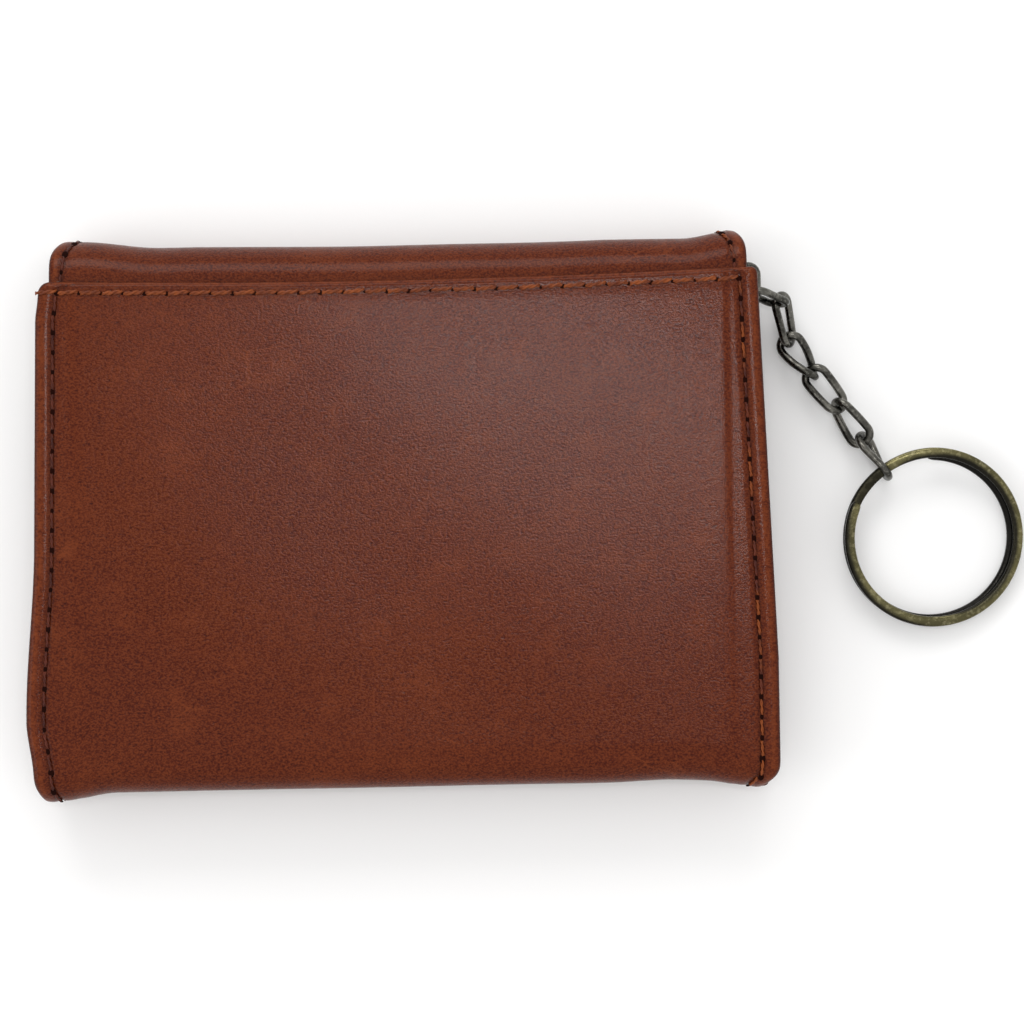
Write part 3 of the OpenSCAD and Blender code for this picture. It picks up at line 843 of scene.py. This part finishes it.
for sheet, name, nodes, bend in (
    (pocket, "back_pocket_leather", ["back_pocket"], BACK_TO_LOW),
    (panel, "front_panel_leather", ["front_shell", "low_spine"], LOW_TO_FRONT),
    (spine, "spine_leather", ["back_shell", "top_spine"], BACK_TO_TOP),
    (flap, "flap_leather", ["flap_shell"], TOP_TO_FLAP),
):
    settle(sheet.build(name, leather_outer), nodes, bend=bend)


def side_places(sheet, sides, inset, first=0.0, sink=0.0):
    """The places of the stitches down a sheet's sides."""
    places = []
    for side in sides:
        places += sheet.places(lambda d: (d, sheet.edge_x(d, side, inset)), sheet.length,
                               SIDE_PITCH, first, sink)
    return places


HEM_LEFT, HEM_RIGHT = -49.6 * MM, 48.9 * MM


def hem_track(d):
    return HEM_ROW, HEM_LEFT + d


places = pocket.places(hem_track, HEM_RIGHT - HEM_LEFT, HEM_PITCH)
sew("hem_thread", places, thread, HEM_STYLE, ["hem_stitching"], "back")

for label, side in (("left", -1), ("right", 1)):
    places = side_places(pocket, (side,), SIDE_SEAM, 1.6 * MM, 0.14 * MM)
    sew(f"side_thread_{label}", places, sunk_thread, SIDE_STYLE,
        [f"side_stitching_{label}"], bend=BACK_TO_LOW)

for sheet, name, nodes, bend, start in (
    (spine, "spine_thread", ["top_spine_stitching"], BACK_TO_TOP, 55 * MM),
    (panel, "panel_thread", ["low_spine_stitching", "front_stitching"], LOW_TO_FRONT, 0),
):
    places = side_places(sheet, (-1, 1), sheet.seam, start, 0.12 * MM)
    sew(name, places, sunk_thread, SIDE_STYLE, nodes, bend=bend)


def flap_track(side):
    """Down one side of the flap, round its corner, and to the middle of its tip."""
    turn_r = FLAP_CORNER - SPINE_SEAM
    down = flap.length - FLAP_CORNER
    quarter = math.pi / 2 * turn_r

    def track(d):
        if d < down:
            return d, flap.edge_x(d, side, SPINE_SEAM)
        x_corner = flap.edge_x(down, side, FLAP_CORNER)
        a = min((d - down) / turn_r, math.pi / 2)
        over = max(d - down - quarter, 0)
        return down + turn_r * math.sin(a), x_corner + side * (turn_r * math.cos(a) - over)

    return track, down + quarter + FLAP_HALF - FLAP_CORNER


places = []
for side in (-1, 1):
    track, run = flap_track(side)
    places += flap.places(track, run, FINE_STYLE[0], sink=0.12 * MM)
sew("flap_thread", places, thread, FINE_STYLE, ["flap_stitching"], bend=TOP_TO_FLAP)

# ---- Inner leathers, linings and window ----


def layer(node, material, body, outward=-1, free_low=False, free_high=True, r=0.0, seam=None):
    """A flat inner layer in place of its CAD node, with a pressed crease along its edge."""
    a, b = low(node), high(node)

    def half(rows, s):
        y = rows[:, 0]
        near = np.minimum(y - a.y if free_low else 1, b.y - y if free_high else 1)
        return b.x - corner_cut(near, r) + 0 * s

    def pressed(x, y, s):
        edge = b.y / MM - y if free_high else y - a.y / MM
        return 0.04 * np.sin(x / 15 + y / 11) - 0.09 * bell(edge, 1.1, 0.28)

    sheet = Sheet(
        [flat_path(a.y, b.y, b.z if outward > 0 else a.z, outward)],
        lambda rows, s: -half(rows, s), half, b.z - a.z, pressed, seam=seam,
        free=(free_low, free_high), seam_depth=0.12,
    )
    settle(sheet.build(f"{node}_layer", material, 1.2 * MM), [node], body)
    return sheet


CARD_SEAM = 2.7 * MM
layer("back_lining", lining_cloth, "back")
for node in ("bill_divider", "card_pocket_top", "card_pocket_middle"):
    layer(node, leather_inner, "back")
card = layer("card_pocket_bottom", leather_inner, "back", seam=CARD_SEAM)
for node, material, r in (("flap_stiffener", board_card, 5), ("flap_lining", lining_cloth, 7)):
    layer(node, material, "flap", 1, free_low=True, free_high=False, r=r * MM)
layer("coin_wall", leather_inner, "front_panel", 1, seam=CARD_SEAM)
layer("zip_tape_outer", tape_cloth, "front_panel", -1)
layer("zip_tape_inner", tape_cloth, "front_panel", 1)
layer("id_window", clear_film, "flap", 1, free_low=True, r=1 * MM)

places = side_places(card, (-1, 1), CARD_SEAM, 1 * MM)
sew("pocket_thread", places, thread, SIDE_STYLE, ["pocket_stitching"], "back")


def rounded_loop(a, b, r, steps=14):
    """Points round a rectangle of half sizes a and b, with its corners rounded to r."""
    points = []
    for quarter, (sx, sy) in enumerate(((1, 1), (-1, 1), (-1, -1), (1, -1))):
        for k in range(steps + 1):
            angle = math.radians(90 * quarter + 90 * k / steps)
            points.append((sx * (a - r) + r * math.cos(angle), sy * (b - r) + r * math.sin(angle)))
    dense = []
    for p, q in zip(points, points[1:] + points[:1]):
        count = 60 if math.dist(p, q) > min(2 * MM, a - r) else 1
        dense += [(p[0] + (q[0] - p[0]) * k / count, p[1] + (q[1] - p[1]) * k / count)
                  for k in range(count)]
    return np.array(dense)


FRAME_BAND = 5 * MM
FRAME_SEAM = 1.3 * MM
FRAME_LOW, FRAME_HIGH = low("window_frame"), high("window_frame")
FRAME_AT, FRAME_HALF = middle("window_frame"), (FRAME_HIGH - FRAME_LOW) / 2


def frame_ring():
    """The leather frame round the identity window: a flat band with two sewn rows."""
    t, corner_r = FRAME_HIGH.z - FRAME_LOW.z, 2.2 * MM
    close = EDGE_STEPS * t / 2
    insets = np.concatenate([close, np.arange(0.6, 4.5, 0.3) * MM, FRAME_BAND - close[::-1]])
    points, masks = [], {"wear": [], "rim": [], "shade": []}
    for inset in insets:
        e = min(inset, FRAME_BAND - inset)
        loop = rounded_loop(FRAME_HALF.x - inset, FRAME_HALF.y - inset,
                            max(corner_r - 0.3 * inset, 0.6 * MM))
        groove = bell(e, FRAME_SEAM, 0.4 * MM)
        z = FRAME_HIGH.z - corner_cut(e, t / 2) - 0.10 * MM * groove * smooth(e / t)
        points += [(FRAME_AT.x + x, FRAME_AT.y + y, z) for x, y in loop]
        # A pale band near each edge: partly rubbed wear, partly a painted highlight.
        masks["wear"] += [bell(e, 0.9 * MM, 0.4 * MM)] * len(loop)
        masks["rim"] += [smooth(1 - e / (0.5 * MM))] * len(loop)
        masks["shade"] += [0.4 * groove] * len(loop)
    size, total = len(loop), len(points)
    below = [(x, y, FRAME_LOW.z) for x, y, z in points]
    faces = []
    for face in rings(len(insets), size):
        faces += [face, tuple(v + total for v in face)]
    for first in (0, total - size):
        for k in range(size):
            p, q = first + k, first + (k + 1) % size
            faces.append((p, q, q + total, p + total))
    masks = {key: values * 2 for key, values in masks.items()}
    made = make_object("window_frame_leather", points + below, faces, leather_inner, masks=masks)
    settle(made, ["window_frame"], "flap")


def frame_thread():
    places = []
    for inset in (FRAME_SEAM, FRAME_BAND - FRAME_SEAM):
        loop = rounded_loop(FRAME_HALF.x - inset, FRAME_HALF.y - inset, 1.4 * MM)
        loop = np.vstack([loop, loop[:1]])
        along = run_of(loop)
        count = int(along[-1] / SIDE_PITCH)
        for k in range(count):
            d = along[-1] * (k + 0.5) / count
            p, q = follow(along, *loop.T)((d - 0.4 * MM, d + 0.4 * MM))
            x, y = (p + q) / 2
            point = np.array((FRAME_AT.x + x, FRAME_AT.y + y, FRAME_HIGH.z - 0.10 * MM))
            places.append((point, unit((*(q - p), 0)), UP))
    sew("window_frame_thread", places, thread, SIDE_STYLE, body="flap")


frame_ring()
frame_thread()

# ---- Swept and turned shapes ----


def tube(path, normals, width, height, sides=16, power=1.0, closed=True, ends=None):
    """A tube along a path: width across it, height along its normals; lower powers are
    squarer. Returns points and faces."""
    path, normals = np.array(path), np.array(normals)
    count = len(path)
    points = []
    for i in range(count):
        after, before = (i + 1) % count, i - 1
        if not closed:
            after, before = min(i + 1, count - 1), max(i - 1, 0)
        tangent = unit(path[after] - path[before])
        side = unit(np.cross(tangent, normals[i]))
        up = np.cross(side, tangent)
        shrink = ends(i / (count - 1)) if ends else 1
        for k in range(sides):
            a = 2 * math.pi * (k + 0.5) / sides
            c, s = math.cos(a), math.sin(a)
            u = math.copysign(abs(c) ** power, c) * width / 2 * shrink
            v = math.copysign(abs(s) ** power, s) * height / 2 * shrink
            points.append(path[i] + u * side + v * up)
    faces = rings(count, sides, wrap=closed)
    if not closed:
        faces.append(tuple(range(sides))[::-1])
        faces.append(tuple((count - 1) * sides + k for k in range(sides)))
    return points, faces


def lathe(profile, centre, sides=56):
    """A turned shape about the vertical through centre, from points of radius and z."""
    points = []
    for r, z in profile:
        for k in range(sides):
            a = 2 * math.pi * k / sides
            points.append((centre[0] + r * math.cos(a), centre[1] + r * math.sin(a), z))
    return points, rings(len(profile), sides)


def soft_block(a, b, power=0.22, steps=20):
    """A block between two corners with rounded edges; lower powers are squarer."""
    centre, half = (np.array(a) + np.array(b)) / 2, (np.array(b) - np.array(a)) / 2
    points = []

    def shaped(v):
        return math.copysign(abs(v) ** power, v)

    for i in range(steps + 1):
        tilt = math.pi * i / steps - math.pi / 2
        for k in range(2 * steps):
            turn = math.pi * (k + 0.5) / steps
            c, s = shaped(math.cos(tilt)), shaped(math.sin(tilt))
            around = np.array((c * shaped(math.cos(turn)), c * shaped(math.sin(turn)), s))
            points.append(centre + half * around)
    return points, rings(steps + 1, 2 * steps)


def hardware(name, shapes, material, node, body, masks=None):
    settle(make_object(name, *join(shapes), material, masks=masks), [node], body)


def rounded_profile(corners, r=0.12 * MM):
    """Rounds the corners of a closed profile of radius and z."""
    steps, out = 5, []
    corners = [np.array(c, float) for c in corners]
    for before, here, after in zip(corners[-1:] + corners, corners, corners[1:] + corners[:1]):
        back, ahead = before - here, after - here
        reach = min(r, 0.45 * np.linalg.norm(back), 0.45 * np.linalg.norm(ahead))
        start, end = here + unit(back) * reach, here + unit(ahead) * reach
        for k in range(steps + 1):
            t = k / steps
            out.append(tuple((1 - t) ** 2 * start + 2 * t * (1 - t) * here + t ** 2 * end))
    return out + out[:1]


# ---- Snap ----

SNAP = middle("snap_cap")
SNAP_AXIS = 0.01 * MM


def turned(name, node, body, profile):
    hardware(name, [lathe(profile, SNAP)], antique_brass, node, body)


def dome(r, z_edge, z_top):
    steps = 14
    return [(r * math.sin(a), z_edge + (z_top - z_edge) * math.cos(a))
            for a in (math.pi / 2 * k / steps for k in range(steps + 1))]


def snap_parts():
    cap, cap_top = low("snap_cap"), high("snap_cap").z
    r = SNAP.x - cap.x
    shape = dome(r, cap.z + 0.55 * MM, cap.z + 0.02 * MM)
    shape += rounded_profile([(r, cap.z + 0.60 * MM), (r - 0.2 * MM, cap.z + 0.8 * MM)])[:4]
    shape += [(1.6 * MM, cap.z + 0.8 * MM), (1.6 * MM, cap_top), (0, cap_top)]
    turned("snap_cap_dome", "snap_cap", "flap", shape)

    socket, top = low("snap_socket"), high("snap_socket").z
    flange, bore, barrel, floor = SNAP.x - socket.x, 2.35 * MM, 2.9 * MM, socket.z + 0.5 * MM
    shape = rounded_profile([
        (SNAP_AXIS, socket.z), (barrel, socket.z), (barrel, top - 0.8 * MM),
        (flange, top - 0.8 * MM), (flange, top - 0.35 * MM), (bore + 1.1 * MM, top),
        (bore, top - 0.1 * MM), (bore, floor), (SNAP_AXIS, floor),
    ], 0.2 * MM)
    turned("snap_socket_cup", "snap_socket", "flap", shape)

    stud, top = low("snap_stud"), high("snap_stud").z
    head, neck, shank, wide = 2 * MM, 1.6 * MM, 1.3 * MM, SNAP.x - stud.x
    plate = top - LEATHER_T - 0.5 * MM
    shape = rounded_profile([
        (SNAP_AXIS, stud.z), (head, stud.z), (head, stud.z + 0.7 * MM), (neck, stud.z + 0.9 * MM),
        (neck, plate), (wide, plate + 0.1 * MM), (wide, plate + 0.5 * MM),
        (shank, plate + 0.5 * MM), (shank, top), (SNAP_AXIS, top),
    ], 0.25 * MM)
    turned("snap_stud_post", "snap_stud", "front_panel", shape)

    a, b, bore = low("snap_eyelet"), high("snap_eyelet"), 1.32 * MM
    shape = rounded_profile([(bore, a.z), (b.x, a.z), (b.x, b.z), (bore, b.z)], 0.3 * MM)
    turned("snap_eyelet_ring", "snap_eyelet", "front_panel", shape)


snap_parts()

# ---- Coin pocket: gusset and zip ----


def gusset_band():
    """A folded band down both sides and along the bottom of the coin pocket."""
    a, b = low("coin_gusset"), high("coin_gusset")
    inset, r = 1.5 * MM, 2.5 * MM
    half, end, z = b.x - inset, a.y + inset, (a.z + b.z) / 2
    path = [np.array((-half, y, z)) for y in np.linspace(b.y, end + r, 40)]
    for side in (-1, 1):
        bend = []
        for t in np.radians(np.linspace(180, 270, 12)):
            x, y = half - r - r * math.cos(t), end + r + r * math.sin(t)
            bend.append(np.array((side * x, y, z)))
        path += bend[1:] if side < 0 else bend[::-1][:-1]
    path += [np.array((half, y, z)) for y in np.linspace(end + r, b.y, 40)]
    sides, pinch = 20, 0.33
    shape, faces = tube(path, [UP] * len(path), 2 * inset, b.z - a.z, sides, 0.45, False)
    for index, p in enumerate(shape):
        inwards = (path[index // sides] - p) * np.array((1, 1, 0))
        shape[index] = p + inwards * pinch * bell(p[2], z, 0.35 * MM)
    hardware("coin_gusset_band", [(shape, faces)], leather_inner, "coin_gusset", "front_panel")


def zip_row(node, name):
    """Teeth in a row, each with a wider head."""
    a, b = low(node), high(node)
    width, pitch = 1.3 * MM, 3 * MM
    count = int(round((b.x - a.x - width) / pitch)) + 1
    blocks = []
    for i in range(count):
        x = a.x + i * pitch
        blocks.append(soft_block((x, a.y - 0.5 * MM, a.z), (x + width, b.y, b.z), 0.35, 8))
        blocks.append(soft_block((x - 0.1 * MM, b.y - 0.75 * MM, a.z + 0.1 * MM),
                                 (x + width + 0.1 * MM, b.y - 0.05 * MM, b.z - 0.1 * MM), 0.5, 6))
    hardware(name, blocks, zip_brass, node, "front_panel")


def zip_hardware():
    a, b, stop = low("zip_stops"), high("zip_stops"), 1.8 * MM
    blocks = [soft_block((x, a.y, a.z), (x + stop, b.y, b.z), 0.35, 10) for x in (a.x, b.x - stop)]
    hardware("zip_stop_blocks", blocks, zip_brass, "zip_stops", "front_panel")

    a, b = low("zip_slider"), high("zip_slider")
    plate = 0.5 * MM
    top = b.y - 1.45 * MM
    pivot = np.array(JOINTS["pull_hinge"]["pos_m"])
    blocks = [soft_block((a.x, a.y, z), (b.x, top, z + plate), 0.30, 14)
              for z in (a.z, b.z - plate)]
    blocks.append(soft_block((a.x + 0.4 * MM, top - plate, a.z + 0.1 * MM),
                             (b.x - 0.4 * MM, top, b.z - 0.1 * MM), 0.30, 14))
    for side in (-1, 1):
        z = pivot[2] + side * 1.15 * MM
        blocks.append(soft_block((pivot[0] - 0.6 * MM, top - 0.2 * MM, z - 0.25 * MM),
                                 (pivot[0] + 0.6 * MM, b.y, z + 0.25 * MM), 0.5, 10))
    pin_r, under, over = 0.35 * MM, pivot[2] - 1.3 * MM, pivot[2] + 1.3 * MM
    blocks.append(lathe([(0, under), (pin_r, under), (pin_r, over), (0, over)], pivot, 20))
    hardware("zip_slider_body", blocks, gunmetal, "zip_slider", "zip_slider")

    a, b = low("zip_pull"), high("zip_pull")
    half_t, inner_r, outer_r = 0.4 * MM, 0.42 * MM, 0.75 * MM
    eye = rounded_profile([(inner_r, a.z), (outer_r, a.z), (outer_r, b.z), (inner_r, b.z)])
    shape, faces = soft_block((a.x, pivot[1] - half_t, a.z),
                              (pivot[0] - 0.5 * MM, pivot[1] + half_t, b.z), 0.30, 16)
    for p in shape:
        narrow = 0.72 + 0.28 * smooth((pivot[0] - 3 * MM - p[0]) / (7 * MM))
        p[2] = pivot[2] + (p[2] - pivot[2]) * narrow
    shapes = [(shape, faces), lathe(eye, pivot, 28)]
    hardware("zip_pull_tab", shapes, antique_brass, "zip_pull", "zip_pull")


gusset_band()
zip_row("zip_teeth_outer", "zip_teeth_lower")
zip_row("zip_teeth_inner", "zip_teeth_upper")
zip_hardware()

# ---- Strap, loop, chain and split ring ----

LOOP_PIVOT = np.array(JOINTS["tab_hinge"]["pos_m"])
TAB_LAYER = 0.8 * MM
TAB_HALF = 1.6 * MM


def chain_strap():
    """A strap doubled round the wire loop; its two ends are sewn under the lining."""
    eye = 0.65 * MM + TAB_LAYER
    x1, z1 = LOOP_PIVOT[0], LOOP_PIVOT[2]
    tail = low("chain_tab").x
    upper = np.linspace(tail, x1, 60)
    turn = np.radians(np.linspace(90, -90, 40))[1:-1]
    lower = np.linspace(x1, tail + 6 * MM, 50)

    def flank(x, side):
        swell = TAB_LAYER + (eye - TAB_LAYER) * smooth((x - x1 + 3 * MM) / (2.6 * MM))
        return z1 + side * swell + 0.68 * MM * smooth((x1 - 2.8 * MM - x) / (2.5 * MM))

    line = np.concatenate([
        np.stack([upper, flank(upper, 1)], 1),
        np.stack([x1 + eye * np.cos(turn), z1 + eye * np.sin(turn)], 1),
        np.stack([lower, flank(lower, -1)], 1),
    ])
    along = run_of(line)
    run = np.gradient(line, along, axis=0)
    out = np.stack([-run[:, 1], run[:, 0]], 1) / np.hypot(*run.T)[:, None]
    path = along[-1], follow(along, *line.T, *out.T)

    def swap(points):
        return np.stack([points[:, 1], LOOP_PIVOT[1] + points[:, 0], points[:, 2]], 1)

    strap = Sheet([path], straight(-TAB_HALF), straight(TAB_HALF), TAB_LAYER, warps=(swap,),
                  free=(True, True))
    return strap.build("chain_strap", leather_outer, 0.4 * MM, 1.2 * MM)


settle(chain_strap(), ["chain_tab"], "back")

LINK_WIRE = 1.1 * MM
LINK_L = 8.1 * MM
LINK_WIDTHS = [4.2 * MM] * 5 + [5.4 * MM]
# How far each link is rolled about its length at its two ends, in degrees.
LINK_ROLLS = [(75, 76), (134, 118), (30, -85), (20, -40), (70, 10), (-60, -95)]
LINK_NAMES = [f"link_{i}" for i in range(1, 7)]
hooks = [np.array(JOINTS[f"{n}_hinge"]["pos_m"]) for n in LINK_NAMES + ["split_ring"]]


def link_path(index):
    """The stadium centreline of a curb link, twisted about its long axis."""
    along = unit(hooks[index + 1] - hooks[index])
    end = hooks[index + 1]
    middle = end - along * (LINK_L - LINK_WIRE) / 2
    side = unit((-along[1], along[0], 0))
    up = np.cross(along, side)
    r = (LINK_WIDTHS[index] - LINK_WIRE) / 2
    a = (LINK_L - LINK_WIDTHS[index]) / 2
    side_run = 2 * a + math.pi * r
    roll0, roll1 = LINK_ROLLS[index]
    steps, path, normals = 120, [], []
    for k in range(steps):
        way = 1 if 2 * k < steps else -1
        d = side_run * (2 * k % steps) / steps
        t = max(d - 2 * a, 0) / r
        u, v = way * (a - min(d, 2 * a) - r * math.sin(t)), way * r * math.cos(t)
        roll = math.radians(roll0 + (roll1 - roll0) * (0.5 + u / (2 * (a + r))))
        path.append(middle + u * along + v * (math.cos(roll) * side + math.sin(roll) * up))
        normals.append(math.cos(roll) * up - math.sin(roll) * side)
    return path, normals


for index, name in enumerate(LINK_NAMES):
    path, normals = link_path(index)
    shape = tube(path, normals, LINK_WIRE, LINK_WIRE * 0.96, 18, 0.92)
    hardware(f"{name}_wire", [shape], gunmetal, name, name)


def tab_loop():
    """The rounded rectangle of wire that the chain hangs on."""
    wire, length, width, corner, tilt = 1.2 * MM, 5 * MM, 6 * MM, 1.2 * MM, math.radians(25)
    out = np.array((math.cos(tilt), 0, -math.sin(tilt)))
    side = np.array((0, 1.0, 0))
    x1, y1 = (length - wire) / 2, (width - wire) / 2
    loop = rounded_loop(x1, y1, corner, 10)[::2]
    path = [LOOP_PIVOT + (x1 + x) * out + y * side for x, y in loop]
    shape = tube(path, [np.cross(out, side)] * len(path), wire, wire, 16)
    hardware("tab_ring_wire", [shape], gunmetal, "tab_ring", "tab_ring")


tab_loop()

RING_D = 25.4 * MM
COIL_W, COIL_T, COIL_PITCH = 1.42 * MM, 1.0 * MM, 1.1 * MM
# Angles along the wire, in degrees: the step between its turns, where its upper tip points,
# and where the lower turn gets dull and then painted dark, as the shade in the gap under the upper
# turn.
RAMP, TIP_ANGLE, DULL_FROM, GAP_SHADE_FROM = 64, 155, 322, 354


def split_ring():
    """Two turns of flattened wire, the upper one a little larger and pushed aside."""
    centre = np.array(MOUNTS["key_ring"]["pos_m"])
    along = unit(centre - hooks[6])
    side = unit((-along[1], along[0], 0))
    up = np.cross(along, side)
    heading = math.degrees(math.atan2(along[1], along[0]))
    centre = centre + 0.60 * MM * along - np.array((0, 0.26, 0)) * MM
    aside = np.array((0.17, 0.05, 0)) * MM
    steps, sides, total = 320, 20, 720 - RAMP
    path, normals, ring_shade = [], [], []
    for i in range(steps + 1):
        a = total * i / steps
        f = smooth((a - 360 + RAMP) / RAMP)
        b = math.radians(TIP_ANGLE - heading + a)
        out = math.cos(b) * along + math.sin(b) * side
        r = RING_D / 2 - (0.85 + 0.30 * f) * MM
        path.append(centre + aside * (1 - 2 * f) + r * out + COIL_PITCH * (0.5 - f) * up)
        normals.append(up)
        lean = 0.25 + math.cos(math.radians(TIP_ANGLE + a - 20))
        dark = max(0.88 * smooth((a - DULL_FROM) / 8), smooth((a - GAP_SHADE_FROM) / 8))
        ring_shade.append((dark, lean))

    def tip(share):
        return 0.72 + 0.28 * min(min(share, 1 - share) * total / 3.0, 1)

    shape = tube(path, normals, COIL_W, COIL_T, sides, 0.62, False, tip)
    # The half of each turn's face turned away from the key light at the upper right is painted
    # dark too, as painted shade and a painted dark reflection.
    across = np.cos(2 * math.pi * (np.arange(sides) + 0.5) / sides)
    shade = [np.maximum(dark, 0.95 * smooth(0.4 * abs(lean) - 4.5 * across * lean))
             for dark, lean in ring_shade]
    hardware("split_ring_wire", [shape], ring_plating, "split_ring", "split_ring",
             {"shade": shade})


def ring_material():
    n = Nodes("ring_plating")
    patches = n.noise(160, 4, 0.6, 0.4)
    streaks = n.noise(1500, 3, 0.6)
    colour = n.mix(n.ramp(patches, 0.30, 0.70), linear(84, 80, 56), linear(118, 112, 78))
    colour = n.tint(colour, linear(196, 188, 150), n.ramp(streaks, 0.5, 0.72), 0.3)
    # shade holds the painted shade of the lower turn and of the wire's far side.
    colour = n.mix(n.attribute("shade"), colour, linear(30, 29, 27))
    return n.finish(
        Base_Color=colour, Metallic=1.0, Roughness=n.ramp(streaks, 0.3, 0.7, 0.20, 0.34),
        Normal=n.bump(n.noise(2200, 3, 0.6), 0.02 * MM, 0.5),
    )


ring_plating = ring_material()
split_ring()

# ---- Floor and light ----


def floor_material():
    n = Nodes("pale_floor", "object")
    tone = n.noise(6, 3)
    return n.finish(
        Base_Color=n.mix(tone, (0.91, 0.91, 0.91), (0.93, 0.93, 0.93)), Roughness=0.8,
        Specular_IOR_Level=0.1, Normal=n.bump(n.noise(900, 3), 0.0001, 0.1),
    )


def light_panel(name, at, aim, size, power, colour=(1, 1, 1)):
    light = bpy.data.lights.new(name, "AREA")
    light.shape = "RECTANGLE"
    light.size, light.size_y = size
    light.energy = power
    light.color = colour
    lamp = bpy.data.objects.new(name, light)
    lamp.location = at
    lamp.rotation_euler = (Vector(aim) - Vector(at)).to_track_quat("-Z", "Y").to_euler()
    bpy.context.scene.collection.objects.link(lamp)


def studio():
    half, drop = 1.5, -0.0003
    corners = [(-half, -half, drop), (half, -half, drop), (half, half, drop), (-half, half, drop)]
    mesh = bpy.data.meshes.new("floor")
    mesh.from_pydata(corners, [], [(0, 1, 2, 3)])
    mesh.materials.append(floor_material())
    floor = bpy.data.objects.new("floor", mesh)
    bpy.context.scene.collection.objects.link(floor)
    world = bpy.data.worlds.new("studio")
    world.use_nodes = True
    background = world.node_tree.nodes["Background"].inputs
    background["Color"].default_value = (1, 0.995, 0.99, 1)
    background["Strength"].default_value = 0.90
    bpy.context.scene.world = world
    light_panel("top_panel", (0.034, 0.054, 0.70), (0.02, 0.01, 0), (0.20, 0.05), 0.60)
    light_panel("back_panel", (-0.10, 0.80, 0.62), (0.01, 0, 0), (0.7, 0.4), 3.0, (1, 0.99, 0.98))
    light_panel("side_panel", (-0.85, -0.10, 0.60), (0.01, 0, 0), (0.5, 0.6), 1.5)


studio()
